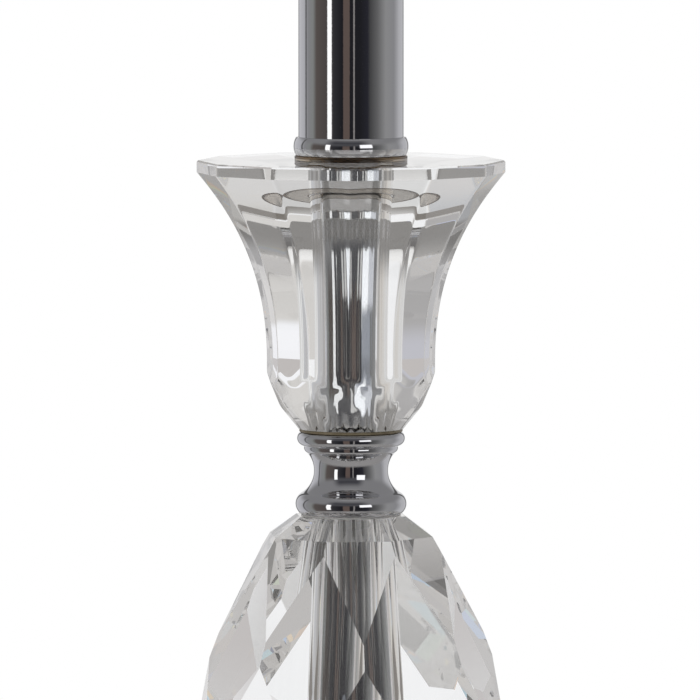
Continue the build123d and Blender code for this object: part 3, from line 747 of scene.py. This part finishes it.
@dataclass
class CrystalBody:
    """The pear-shaped crystal: seven rings of eight facets round a bore."""

    top: float = 157.2
    height: float = 105.2
    bore: float = 7.8
    block: float = 100.0
    count: int = 8
    turn: float = 5.5
    tiers: tuple[tuple[bool, Point, Point], ...] = (
        (False, (38.0, 38.2), (40.2, 56.5)),
        (False, (21.0, 5.3), (35.5, 31.4)),
        (True, (24.9, 8.9), (32.8, 31.4)),
        (False, (14.1, 0.0), (21.0, 5.3)),
        (True, (41.0, 60.0), (26.0, 97.0)),
        (False, (39.5, 68.0), (26.0, 97.0)),
        (False, (26.0, 97.0), (18.0, 105.2)),
    )

    def build(self) -> None:
        """Grinds the crystal from a block, ring by ring, and drills it."""
        piece = Piece()
        middle = Matrix.Translation(UP * ((self.top - self.height / 2) * MM))
        size = Matrix.Diagonal((self.block * MM, self.block * MM, self.height * MM, 1.0))
        bmesh.ops.create_cube(piece.mesh, size=1.0, matrix=middle @ size)
        for between, upper, lower in self.tiers:
            first = self.turn + FRONT + (180.0 / self.count if between else 0.0)
            piece.tier(self.count, first, (upper[0], self.top - upper[1]), (lower[0], self.top - lower[1]))
        piece.drill(self.bore, self.top - self.height, self.top)
        piece.finish("body_crystal", CRYSTAL, "crystal", "crystal_body", edge=Edge.CUT)


@dataclass(frozen=True)
class Facets:
    """A ring of facets: the first one's bearing, and radius and depth of two points on its middle line."""

    turn: float
    upper: Point
    lower: Point

    def reach(self, depth: float) -> float:
        """Radius of the middle line at a depth."""
        share = (depth - self.upper[1]) / (self.lower[1] - self.upper[1])
        return self.upper[0] + (self.lower[0] - self.upper[0]) * share


@dataclass
class CrystalCup:
    """The pressed crystal cup: twelve panels with soft ridges, a bowl of four rings of facets, a bore."""

    top: float = 252.0
    height: float = 71.6
    bore: float = 7.8
    rim: float = 41.2
    band: float = 3.2
    bevel: float = 0.4
    flare: Point = (31.5, 16.5)
    waist: Point = (22.5, 50.5)
    pitch: float = 30.0
    bowl: tuple[Facets, ...] = (
        Facets(0.0, (22.3, 57.1), (19.0, 65.6)),
        Facets(15.0, (21.7, 59.7), (18.2, 66.4)),
        Facets(0.0, (19.0, 65.6), (14.05, 71.6)),
        Facets(15.0, (18.2, 66.4), (14.05, 71.6)),
    )
    soft: float = 0.12
    sides: int = 480
    row: float = 0.35
    ease: int = 40

    def blank(self) -> Lathe:
        """Turns the round blank that touches the middle of every panel.

        Returns:
            The blank, open at both ends.
        """
        flat = math.cos(math.radians(self.pitch / 2))
        low = self.top - self.height
        waist = (self.waist[0] * flat, self.top - self.waist[1])
        flare = (self.flare[0] * flat, self.top - self.flare[1])
        band = (self.rim * flat, self.top - self.band)
        rows = math.ceil((waist[1] - low) / self.row)
        skin = Lathe((waist[0], low))
        skin.line(*((waist[0], low + (waist[1] - low) * row / rows) for row in range(1, rows + 1)))
        skin.round_off((0.0, 1.0), flare)
        lean = 2.0 * math.atan2(flare[0] - waist[0], flare[1] - waist[1])
        skin.round_off((math.sin(lean), math.cos(lean)), band)
        skin.ease(self.ease)
        skin.line((band[0], self.top - self.bevel), (band[0] - self.bevel * flat, self.top))
        return skin.sweep(self.sides)

    def press(self, vert: bmesh.types.BMVert) -> None:
        """Moves a vertex of the blank to the panels and facets, which run softly into each other.

        Args:
            vert: The vertex.
        """
        panel = vert.co.xy.length / MM
        depth = self.top - vert.co.z / MM
        bearing = math.degrees(math.atan2(vert.co.y, vert.co.x))
        rings = [(self.pitch / 2, panel)] + [(ring.turn, ring.reach(depth)) for ring in self.bowl]
        walls = []
        for turn, reach in rings:
            near = (bearing - turn + self.pitch / 2) % self.pitch - self.pitch / 2
            walls += [reach / math.cos(math.radians(aside)) for aside in (near, abs(near) - self.pitch)]
        first = min(walls)
        blend = sum(math.exp((first - wall) / self.soft) for wall in walls)
        vert.co.xy *= (first - self.soft * math.log(blend)) / panel

    def build(self) -> None:
        """Presses the blank into its panels and facets and drills it."""
        skin = self.blank()
        skin.tidy()
        for vert in skin.mesh.verts:
            self.press(vert)
        skin.drill(self.bore, self.top - self.height, self.top)
        skin.finish("cup_crystal", CRYSTAL, "crystal", "crystal_cup")


@dataclass
class Column:
    """The turned chrome between the crystals and up the neck.

    Each arc of the spool is a middle point, an end point and its largest step in degrees. A point is a radius
    and a drop from the spool's top.
    """

    liner: float = 7.3
    spool_top: float = 179.6
    spool_height: float = 21.9
    spool_rim: float = 13.4
    spool_arcs: tuple[tuple[Point, Point, float], ...] = (
        ((14.4, 1.6), (12.5, 3.9), 5.0),
        ((12.55, 4.7), (11.9, 5.6), 5.0),
        ((9.95, 9.7), (13.0, 16.3), 3.0),
        ((14.85, 19.3), (13.7, 21.9), 5.0),
    )
    rod_hole: float = 5.15
    seat_foot: float = 253.2
    seat_height: float = 5.1
    seat_floor: float = 1.5
    seat_rim: float = 14.65
    seat_recess: float = 14.15
    bead: float = 15.35
    bead_share: float = 0.45
    tube: float = 14.05
    tube_wall: float = 1.0
    tube_span: Point = (254.7, 366.7)
    corner: float = 0.12
    tube_corner: float = 0.15

    def spool(self) -> None:
        """Turns the spool between the crystals."""
        top = self.spool_top
        turned = Lathe((self.liner, top)).line((self.spool_rim, top))
        for through, to, step in self.spool_arcs:
            turned.arc((through[0], top - through[1]), (to[0], top - to[1]), step)
        turned.line((self.liner, top - self.spool_height)).close().soften(self.corner).sweep()
        turned.finish("spool_turned", CHROME, "chrome_plate", "spool")

    def seat(self, name: str, node: str, foot: float, way: float) -> None:
        """Turns one of the two bead rings that hold the tube.

        Args:
            name: The piece's name.
            node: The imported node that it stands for.
            foot: Height of its flat floor.
            way: 1 where the recess opens upwards, -1 where it opens downwards.
        """
        lip = foot + way * self.seat_height
        floor = foot + way * self.seat_floor
        turned = Lathe((self.rod_hole, foot)).line((self.seat_rim, foot))
        turned.arc((self.bead, foot + way * self.bead_share * self.seat_height), (self.seat_rim, lip))
        turned.line((self.seat_recess, lip), (self.seat_recess, floor), (self.rod_hole, floor)).close()
        turned.soften(self.corner).sweep().finish(name, CHROME, "chrome_plate", node)

    def neck(self) -> None:
        """Draws the neck tube."""
        turned = Lathe.ring(self.tube - self.tube_wall, self.tube, *self.tube_span)
        turned.soften(self.tube_corner).sweep().finish("neck_drawn", CHROME, "chrome_plate", "neck_tube")

    def build(self) -> None:
        """Makes every turned piece of the column."""
        self.spool()
        self.seat("seat_ring", "tube_seat", self.seat_foot, 1.0)
        self.seat("cap_ring", "tube_cap", self.tube_span[1] + self.seat_floor, -1.0)
        self.neck()


@dataclass(frozen=True)
class Ring:
    """A gasket: its name, node, heights, radius, finish and slot."""

    name: str
    node: str
    low: float
    high: float
    radius: float
    look: Finish
    slot: str


@dataclass
class Gaskets:
    """The soft rings at the crystals' ends; the cup's bite a hair into it, the body's stay clear of it."""

    bore: float = 7.9
    corner: float = 0.15
    rings: tuple[Ring, ...] = (
        Ring("cup_top_gasket", "cup_gasket_upper", 251.97, 253.2, 15.05, AMBER, "amber_gasket"),
        Ring("cup_foot_gasket", "cup_gasket_lower", 179.6, 180.43, 13.8, AMBER_FOOT, "amber_gasket"),
        Ring("body_top_gasket", "body_gasket_upper", 157.22, 157.7, 13.3, CLEAR, "clear_gasket"),
        Ring("body_foot_gasket", "body_gasket_lower", 51.5, 51.98, 17.6, CLEAR, "clear_gasket"),
    )

    def build(self) -> None:
        """Turns each ring with rounded edges."""
        for ring in self.rings:
            turned = Lathe.ring(self.bore, ring.radius, ring.low, ring.high).soften(self.corner).sweep()
            turned.finish(ring.name, ring.look, ring.slot, ring.node)


@dataclass
class Holder:
    """The lamp holder: hexagon nut, skirt with its rolled thread, and screw shell."""

    nut_flats: float = 17.0
    nut_span: Point = (368.2, 374.2)
    nut_chamfer: float = 0.6
    rod_hole: float = 5.15
    cap_top: float = 398.2
    spigot: Point = (19.2, 4.0)
    flange: Point = (23.5, 2.5)
    skirt_top: float = 431.2
    skirt_inside: float = 17.5
    skirt_corner: float = 0.4
    lip: Point = (16.3, 1.0)
    thread_top: float = 411.7
    thread: tuple[float, float, float] = (19.3, 19.8, 2.5)
    ridge_width: float = 1.4
    ridge_root: float = 0.3
    ridge_start: float = 0.4
    ridge_end: float = 1.6
    run_out: float = 0.96
    screw_span: Point = (405.7, 427.7)
    screw_middle: float = 13.0
    screw_depth: float = 0.45
    screw_pitch: float = 3.63
    screw_wall: float = 0.25
    screw_trim: Point = (0.3, 0.2)
    screw_step: float = 14.0
    ledge: Point = (10.2, 13.65)
    ledge_height: float = 0.5
    ledge_corner: float = 0.2
    lip_inside: float = 12.8

    def nut(self) -> None:
        """Turns a chamfered ring and cuts its six flats."""
        low, high = self.nut_span
        flat = self.nut_flats / 2
        corner = flat / math.cos(math.radians(30.0))
        turned = Lathe((self.rod_hole, low)).line(
            (flat, low), (corner, low + self.nut_chamfer), (corner, high - self.nut_chamfer), (flat, high),
            (self.rod_hole, high)).close()
        turned.sweep(144).tidy()
        turned.tier(6, 30.0, (flat, high), (flat, low))
        turned.finish("hexagon_nut", CHROME, "chrome_plate", "column_nut")

    def skirt(self) -> None:
        """Turns the skirt with its flange and its rolled-in lip."""
        spigot, drop = self.spigot
        wide, thick = self.flange
        lip, edge = self.lip
        root = self.thread[0]
        foot, shelf = self.cap_top - drop, self.cap_top + thick
        turned = Lathe((self.skirt_inside, foot)).line(
            (spigot, foot), (spigot, self.cap_top), (wide, self.cap_top), (wide, shelf), (root, shelf),
            (root, self.skirt_top), (lip, self.skirt_top), (lip, self.skirt_top - edge),
            (self.skirt_inside, self.skirt_top - edge)).close()
        turned.soften(self.skirt_corner, 4).sweep(160)
        turned.finish("holder_skirt", CHROME, "chrome_plate", "holder_shell")

    def ridge(self) -> None:
        """Winds the rolled ridge that the shade ring screws on, run out at both ends."""
        root, crest, pitch = self.thread
        low = self.cap_top + self.flange[1] + self.ridge_start
        high = low + self.ridge_width
        wound = Lathe((root - self.ridge_root, low)).line((root, low))
        wound.arc((crest, low + self.ridge_width / 2), (root, high), 20.0)
        wound.line((root - self.ridge_root, high)).close()
        ends = wound.wind((self.thread_top - low - self.ridge_end) / pitch, pitch, 96)
        bmesh.ops.scale(wound.mesh, vec=(self.run_out, self.run_out, 1.0), verts=ends)
        open_edges = [edge for edge in wound.mesh.edges if edge.is_boundary]
        bmesh.ops.holes_fill(wound.mesh, edges=open_edges, sides=0)
        wound.finish("skirt_thread", CHROME, "chrome_plate")

    def screw(self) -> None:
        """Rolls the thin screw shell and trims its ends."""
        low, high = self.screw_span
        middle, depth, pitch = self.screw_middle, self.screw_depth, self.screw_pitch
        start = low - pitch
        rolled = Lathe((middle, start))
        rolled.arc((middle - depth, start + pitch / 4), (middle, start + pitch / 2), self.screw_step)
        rolled.arc((middle + depth, start + 3 * pitch / 4), (middle, start + pitch), self.screw_step)
        rolled.wind((high - low) / pitch + 2.0, pitch)
        rolled.tidy()
        rolled.cut(UP * (high - self.screw_trim[1]), UP, False)
        rolled.cut(UP * (low + self.screw_trim[0]), -UP, False)
        bmesh.ops.solidify(rolled.mesh, geom=rolled.mesh.faces[:], thickness=self.screw_wall * MM)
        rolled.finish("screw_rolled", BRASS, "brass", "screw_shell")

    def rings(self) -> None:
        """Turns the ledge under the screw shell and the lip that closes it at the top."""
        low, high = self.screw_span
        inner, outer = self.ledge
        top = high - self.ledge_height
        for name, radius, floor in (("shell_ledge", inner, low), ("shell_lip", self.lip_inside, top)):
            turned = Lathe.ring(radius, outer, floor, floor + self.ledge_height)
            turned.soften(self.ledge_corner, 3).sweep(96).finish(name, BRASS, "brass")

    def build(self) -> None:
        """Makes every piece of the holder."""
        self.nut()
        self.skirt()
        self.ridge()
        self.screw()
        self.rings()


@dataclass
class ShadeRing:
    """The loose ring that clamps a shade: a flat flange and a hub with grips."""

    floor: float = 400.7
    inside: float = 20.15
    hub: float = 22.55
    hub_height: float = 8.0
    flange: float = 28.5
    flange_height: float = 1.6
    corner: float = 0.6
    grips: int = 24
    grip: float = 0.7
    grip_sides: int = 14
    grip_lift: float = 0.2
    grip_drop: float = 0.5
    grip_round: float = 0.4

    def build(self) -> None:
        """Turns the ring and sets its rounded grips round the hub."""
        low, shelf, top = self.floor, self.floor + self.flange_height, self.floor + self.hub_height
        turned = Lathe((self.inside, low)).line(
            (self.flange, low), (self.flange, shelf), (self.hub, shelf), (self.hub, top),
            (self.inside, top)).close()
        turned.soften(self.corner, 5).sweep(144)
        tall = top - self.grip_drop - low
        middle = low + self.grip_lift + tall / 2
        for number in range(self.grips):
            angle = math.tau * number / self.grips
            spot = Matrix.Translation((
                self.hub * math.cos(angle) * MM, self.hub * math.sin(angle) * MM, middle * MM))
            post = bmesh.ops.create_cone(
                turned.mesh, cap_ends=True, segments=self.grip_sides, radius1=self.grip * MM,
                radius2=self.grip * MM, depth=tall * MM, matrix=spot)
            edges = {edge for vert in post["verts"] for edge in vert.link_edges}
            height = (top - self.grip_drop) * MM
            crown = [edge for edge in edges if all(vert.co.z > height for vert in edge.verts)]
            bmesh.ops.bevel(turned.mesh, geom=crown, offset=self.grip_round * MM, segments=3, profile=0.5,
                            affect="EDGES", material=-1, clamp_overlap=True)
        turned.finish("gripped_ring", CHROME, "chrome_plate", "shade_ring", body=Body.SHADE_RING)


@dataclass
class Foot:
    """The felt under the foot and the bush where a cord goes in."""

    felt_radius: float = 62.5
    felt_height: float = 1.5
    inlet: float = 11.25
    band: float = 64.0
    wall: float = 1.2
    lip: Point = (5.1, 1.4)
    lip_bite: float = 0.2
    bush: float = 4.2
    bore: float = 3.1
    corner: float = 0.5

    def felt(self) -> None:
        """Cuts the felt disc with a soft edge."""
        radius, height = self.felt_radius, self.felt_height
        disc = Lathe((0.0, 0.0)).line((radius, 0.0), (radius, height), (0.0, height))
        disc.soften(self.corner, 4).sweep(144).finish("felt_disc", FELT, "felt", "felt_pad")

    def grommet(self) -> None:
        """Turns the bush and lays it through the back of the band."""
        wide, thick = self.lip
        inner, outer = self.band - self.wall, self.band - self.lip_bite
        turned = Lathe((self.bore, inner - thick)).line(
            (wide, inner - thick), (wide, inner), (self.bush, inner), (self.bush, outer), (wide, outer),
            (wide, self.band + thick), (self.bore, self.band + thick)).close()
        turned.soften(self.corner, 4).sweep(72)
        lay = Matrix.Translation(UP * (self.inlet * MM)) @ Matrix.Rotation(-math.pi / 2, 4, "X")
        bmesh.ops.transform(turned.mesh, matrix=lay, verts=turned.mesh.verts[:])
        turned.finish("inlet_bush", BUSH, "bush_plastic", "cord_bush")

    def build(self) -> None:
        """Makes both pieces."""
        self.felt()
        self.grommet()


@dataclass(frozen=True)
class Sight:
    """How a ray came to look at the room: straight, through clear glass, or by a mirror inside it."""

    sheet: NodeSheet

    def path(self, output: str) -> Wire:
        """One output of a Light Path node."""
        return self.sheet.node("ShaderNodeLightPath", output=output)

    def eye(self) -> Wire:
        """1 for a straight look."""
        return self.path("Is Camera Ray")

    def wet(self) -> Wire:
        """1 for a look that went through glass at least once."""
        return 1.0 - self.path("Transmission Depth").under(0.5)

    def through_glass(self) -> Wire:
        """1 for a look through glass that no surface mirrors on the way."""
        return self.path("Is Transmission Ray") * self.path("Glossy Depth").under(0.5)

    def mirrored(self) -> Wire:
        """1 for a look that at least one surface mirrors."""
        again = 1.0 - self.path("Glossy Depth").under(0.5)
        return self.path("Is Reflection Ray").larger(self.path("Is Transmission Ray") * again)

    def inside_glass(self) -> Wire:
        """1 for a look that facets or the outer chrome mirror behind crystal, rather than the sleeve.

        Returns:
            The share, 0 or 1.
        """
        few = self.path("Transmission Depth").under(2.5)
        often = 1.0 - self.path("Glossy Depth").under(1.5)
        facets = self.path("Is Transmission Ray") * self.mirrored() * few.larger(often)
        return facets.larger(self.path("Is Reflection Ray") * self.wet())

    def lost(self) -> Wire:
        """1 for a look that surfaces mirror so often that it shows no clear picture."""
        return 1.0 - self.path("Glossy Depth").under(2.5)

    def by_sleeve(self) -> Wire:
        """1 for a look through crystal that the polished sleeve mirrors."""
        return self.path("Is Transmission Ray") * self.mirrored() * (1.0 - self.inside_glass())


@dataclass(frozen=True)
class PaleFloor(Finish):
    """A pale floor that fades to white far off and ends early in what the lamp mirrors; reaches in metres.
    Mirrored looks see it darker, a painted shade, and looks through glass see its far part glow, with painted
    light behind the lamp and painted shade to the sides and front.
    """

    tones: tuple[Colour, Colour] = ((0.8, 0.8, 0.8), (0.83, 0.83, 0.83))
    cloud_size: float = 0.3
    # Painted shade: the floor's colour in mirrored looks, darker than it looks straight on.
    mirrored_painted_shade: Colour = (0.42, 0.41, 0.4)
    # Painted light and shade: through glass the far floor glows near white behind the lamp and darker grey
    # over the bearings below.
    table: tuple[Colour, Colour] = ((0.95, 0.95, 0.96), (0.54, 0.51, 0.5))
    painted_shade_bearings: Point = (-144.0, 152.0)
    painted_shade_soft: float = 3.0
    fade: Point = (0.22, 0.6)
    glass_fade: Point = (0.16, 0.24)
    edge: Point = (0.2, 0.32)
    wet_edge: Point = (0.07, 0.1)

    def dress(self, sheet: NodeSheet) -> None:
        """Fills the material's node sheet."""
        where = sheet.place()
        reach = sheet.length(where)
        bearing = sheet.part(where, "X").angle_from(-sheet.part(where, "Y"))
        sight = Sight(sheet)
        eye, glass = sight.eye(), sight.through_glass()
        far = (reach.ramp(*self.fade) * eye).larger(reach.ramp(*self.glass_fade) * glass)
        tone = sheet.blend(sheet.noise(where, self.cloud_size), *self.tones)
        # Painted shade: mirrored looks get the darker floor tone.
        tone = sheet.blend(eye.larger(glass), self.mirrored_painted_shade, tone)
        plain = sheet.node("ShaderNodeBsdfDiffuse", {}, {"Color": tone})
        # Painted light and shade: the far floor's glow as seen through glass; plain white for the eye.
        aside = bearing.window(*self.painted_shade_bearings, self.painted_shade_soft)
        fade = sheet.blend(eye, sheet.blend(aside, *self.table), WHITE)
        white = sheet.node("ShaderNodeEmission", {}, {"Color": fade, "Strength": 1.0})
        both = sheet.node("ShaderNodeMixShader", {}, {0: far, 1: plain, 2: white})
        edge = reach.ramp(*self.edge).larger(reach.ramp(*self.wet_edge) * sight.wet()) * sight.mirrored()
        open_air = sheet.node("ShaderNodeBsdfTransparent")
        table = sheet.node("ShaderNodeMixShader", {}, {0: edge, 1: both, 2: open_air})
        sheet.end("ShaderNodeOutputMaterial", table)


@dataclass(frozen=True)
class Panel:
    """A panel of the room, by bearing from the camera and by rise, in degrees."""

    bearing: Point
    rise: Point
    soft: float
    colour: Colour

    def hang(self, level: Wire | Colour, bearing: Wire, rise: Wire) -> Wire:
        """Hangs the panel before a colour, for a direction into the room."""
        cover = bearing.window(*self.bearing, self.soft) * rise.window(*self.rise, self.soft)
        return bearing.sheet.blend(cover, level, self.colour)


@dataclass
class Studio:
    """The pale floor, the room that the lamp mirrors, the lamps and the camera."""

    distance: float = 2.5
    lift: float = 0.14
    frame_width: float = 186.67
    aim: Point = (-0.27, 201.3)
    rim: float = 252.0
    sensor: float = 36.0
    clip: Point = (0.05, 60.0)
    bounces: int = 128
    floor_radius: float = 3.0
    lights: tuple[tuple[str, Colour, float, float], ...] = (
        ("over", (0.3, -0.5, 1.9), 1.6, 26.0), ("front", (-1.3, -1.5, 1.1), 0.7, 9.0))
    lit_height: float = 0.2
    walls: Marks = (
        (-180.0, (0.95, 0.95, 0.95)), (-152.0, (0.68, 0.68, 0.71)), (-126.0, (0.62, 0.62, 0.65)),
        (-108.0, (0.34, 0.34, 0.35)), (-92.0, (0.32, 0.33, 0.32)), (-82.0, (0.14, 0.12, 0.11)),
        (-58.0, (0.11, 0.095, 0.09)), (-36.0, (0.04, 0.04, 0.045)), (-20.0, (0.02, 0.02, 0.024)),
        (20.0, (0.02, 0.02, 0.024)), (37.0, (0.03, 0.03, 0.04)), (42.0, (0.08, 0.08, 0.082)),
        (60.0, (0.18, 0.18, 0.18)), (82.0, (0.38, 0.38, 0.38)), (108.0, (0.36, 0.36, 0.37)),
        (130.0, (0.62, 0.62, 0.64)), (152.0, (0.64, 0.64, 0.66)), (180.0, (0.95, 0.95, 0.95)))
    ceiling: Colour = (0.29, 0.288, 0.295)
    ceiling_rise: Point = (9.0, 30.0)
    skylight: Colour = (0.55, 0.55, 0.55)
    skylight_rise: Point = (62.0, 84.0)
    ground: Colour = (0.34, 0.33, 0.32)
    ground_rise: Point = (-34.0, -60.0)
    ground_share: float = 0.6
    panels: tuple[Panel, ...] = (
        Panel((-166.0, -158.0), (-90.0, 30.0), 1.5, (0.12, 0.12, 0.12)),
        Panel((157.0, 165.0), (-90.0, 30.0), 1.5, (0.12, 0.12, 0.12)),
        Panel((-119.0, -114.0), (-90.0, 30.0), 1.5, (0.13, 0.13, 0.13)),
        Panel((-17.0, -3.0), (-90.0, 16.0), 1.0, (0.16, 0.12, 0.105)),
        Panel((5.0, 8.0), (-90.0, 16.0), 0.8, (0.36, 0.34, 0.33)),
        Panel((-50.0, 34.0), (16.0, 46.0), 16.0, (0.07, 0.07, 0.08)),
        Panel((-53.0, -43.0), (-20.0, 20.0), 1.2, (1.7, 1.7, 1.68)),
        Panel((18.0, 44.0), (2.0, 22.0), 1.2, (1.6, 1.6, 1.62)),
    )
    windows: tuple[Panel, ...] = (
        Panel((-60.0, -41.0), (-5.0, 31.0), 1.2, (1.5, 1.5, 1.52)),
        Panel((-1.0, 13.0), (11.0, 33.0), 1.5, (0.95, 0.94, 0.93)),
        Panel((20.0, 70.0), (-5.0, 8.0), 3.0, (0.5, 0.53, 0.6)),
        Panel((48.0, 80.0), (8.0, 34.0), 2.0, (1.05, 1.07, 1.15)),
        Panel((17.0, 48.0), (8.0, 34.0), 2.0, (1.75, 1.78, 1.85)),
    )
    backdrop: Colour = (0.69, 0.67, 0.65)
    behind: tuple[Panel, ...] = (
        Panel((-153.0, -120.0), (-90.0, 90.0), 4.0, (0.42, 0.41, 0.41)),
        Panel((-153.0, -120.0), (-90.0, 3.0), 4.0, (0.53, 0.53, 0.58)),
        Panel((-184.0, -157.0), (-90.0, 30.0), 2.0, (0.94, 0.94, 0.95)),
        Panel((-184.0, -148.0), (29.0, 46.0), 2.0, (0.98, 0.97, 0.96)),
        Panel((148.0, 184.0), (29.0, 46.0), 2.0, (0.98, 0.97, 0.96)),
        Panel((124.0, 152.0), (-90.0, 6.0), 1.5, (0.97, 0.97, 1.0)),
    )
    sparkle: Marks = (
        (-180.0, (0.66, 0.65, 0.64)), (-160.0, (0.84, 0.84, 0.84)), (-152.0, (0.92, 0.92, 0.92)),
        (-147.0, (0.74, 0.71, 0.68)), (-143.0, (0.52, 0.53, 0.55)), (-120.0, (0.5, 0.49, 0.5)),
        (-116.0, (0.64, 0.64, 0.64)), (-111.0, (0.48, 0.47, 0.47)), (-80.0, (0.33, 0.32, 0.31)),
        (-52.0, (0.27, 0.26, 0.25)), (-43.0, (0.6, 0.58, 0.57)), (43.0, (0.6, 0.58, 0.57)),
        (52.0, (0.27, 0.26, 0.25)), (80.0, (0.33, 0.32, 0.31)), (105.0, (0.46, 0.44, 0.42)),
        (109.0, (0.64, 0.59, 0.54)), (116.0, (0.66, 0.63, 0.6)), (142.0, (0.66, 0.64, 0.61)),
        (146.0, (0.7, 0.69, 0.68)), (152.0, (0.72, 0.71, 0.71)), (180.0, (0.66, 0.65, 0.64)))
    glow: float = 0.88
    overhead: Colour = (0.23, 0.22, 0.21)
    overhead_rise: Point = (15.0, 36.0)
    shadows: tuple[Panel, ...] = (
        Panel((96.0, 184.0), (-25.0, -16.0), 1.5, (0.2, 0.18, 0.16)),
        Panel((-184.0, -96.0), (-25.0, -16.0), 1.5, (0.2, 0.18, 0.16)),
    )
    # A flat painted reflection tone for looks lost among many mirrors inside the crystal, and painted rainbow
    # fringes in thin strips that stand in for dispersion.
    painted_reflection_tone: Colour = (0.58, 0.56, 0.545)
    painted_reflection_share: float = 0.8
    rainbow: tuple[Colour, ...] = (
        (0.74, 0.56, 0.44), (0.7, 0.68, 0.48), (0.46, 0.62, 0.72), (0.5, 0.54, 0.74))
    rainbows: int = 5
    strip: float = 0.03

    def camera(self) -> None:
        """Sets the camera far off, a little above the cup's rim."""
        data = bpy.data.cameras.new("camera")
        made = add_object("camera", data)
        target = Vector((self.aim[0] * MM, 0.0, self.aim[1] * MM))
        made.location = Vector((self.aim[0] * MM, -self.distance, self.rim * MM + self.lift))
        point_at(made, target)
        data.sensor_width = self.sensor
        data.lens = self.sensor * (target - made.location).length / (self.frame_width * MM)
        data.clip_start, data.clip_end = self.clip
        bpy.context.scene.camera = made

    def room(self) -> None:
        """Paints the room by direction, and plain white behind the lamp for the eye."""
        world = bpy.data.worlds.new("room")
        world.use_nodes = True
        bpy.context.scene.world = world
        sheet = NodeSheet(world.node_tree)
        sight = Sight(sheet)
        way = sheet.node("ShaderNodeTexCoord", output="Generated")
        bearing = sheet.part(way, "X").angle_from(-sheet.part(way, "Y"))
        rise = sheet.part(way, "Z").slope()
        turn = bearing * (1.0 / 360.0) + 0.5
        level = sheet.colours(self.walls, turn, AROUND)
        level = sheet.blend(rise.ramp(*self.ceiling_rise), level, self.ceiling)
        level = sheet.blend(rise.ramp(*self.skylight_rise), level, self.skylight)
        level = sheet.blend(rise.ramp(*self.ground_rise) * self.ground_share, level, self.ground)
        for panel in self.panels:
            level = panel.hang(level, bearing, rise)
        lit = level
        for panel in self.windows:
            lit = panel.hang(lit, bearing, rise)
        # Painted reflections for looks inside the crystal: glints by bearing, painted shade overhead and in
        # the shadows, a flat painted reflection tone for looks lost among many mirrors, and painted rainbow
        # fringes.
        glint = sheet.colours(self.sparkle, turn, AROUND)
        glint = sheet.blend(rise.ramp(*self.overhead_rise), glint, self.overhead)
        for panel in self.shadows:
            glint = panel.hang(glint, bearing, rise)
        glint = sheet.blend(self.glow, level, glint)
        tints = (self.painted_reflection_tone, *self.rainbow, self.painted_reflection_tone)
        strips = [(self.strip * place, tint) for place, tint in enumerate(tints)]
        fire = sheet.colours(strips, (turn * self.rainbows).rest())
        glint = sheet.blend(sight.lost() * self.painted_reflection_share, glint, fire)
        level = sheet.blend(sight.inside_glass(), level, glint)
        level = sheet.blend(sight.by_sleeve(), level, lit)
        clear = self.backdrop
        for panel in self.behind:
            clear = panel.hang(clear, bearing, rise)
        level = sheet.blend(sight.through_glass(), level, clear)
        level = sheet.blend(sight.eye(), level, WHITE)
        light = sheet.node("ShaderNodeBackground", {}, {"Color": level, "Strength": 1.0})
        sheet.end("ShaderNodeOutputWorld", light)

    def floor(self) -> None:
        """Lays a pale round floor."""
        disc = bmesh.new()
        bmesh.ops.create_circle(disc, cap_ends=True, segments=96, radius=self.floor_radius)
        data = bpy.data.meshes.new("floor")
        disc.to_mesh(data)
        disc.free()
        data.materials.append(PaleFloor("pale_floor").material())
        made = add_object("floor", data)

    def lamps(self) -> None:
        """Hangs a broad soft lamp over the scene and a smaller one at the front left, both unseen."""
        for name, place, size, power in self.lights:
            data = bpy.data.lights.new(name, "AREA")
            data.size = size
            data.energy = power
            made = add_object(name, data)
            made.location = place
            point_at(made, UP * self.lit_height)
            made.visible_glossy = False
            made.visible_transmission = False
            made.visible_camera = False

    def build(self) -> None:
        """Sets up the whole studio."""
        self.camera()
        self.room()
        self.floor()
        self.lamps()
        scene = bpy.context.scene
        scene.view_settings.view_transform = "Standard"
        scene.cycles.max_bounces = self.bounces
        scene.cycles.transmission_bounces = self.bounces
        scene.cycles.glossy_bounces = self.bounces


def carry_over() -> None:
    """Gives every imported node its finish."""
    for look, names in CARRIED.items():
        for name in names:
            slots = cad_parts[name].data.materials
            slots.clear()
            slots.append(look.material())
        LOG.info("%s on %s", look.name, ", ".join(names))


def main() -> None:
    """Builds the studio and the lamp's groups in order."""
    logging.basicConfig(level=logging.INFO, format="%(message)s")
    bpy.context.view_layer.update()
    Studio().build()
    carry_over()
    for group in (CrystalBody(), CrystalCup(), Column(), Gaskets(), Holder(), ShadeRing(), Foot()):
        group.build()


if __name__ == "__main__":
    main()
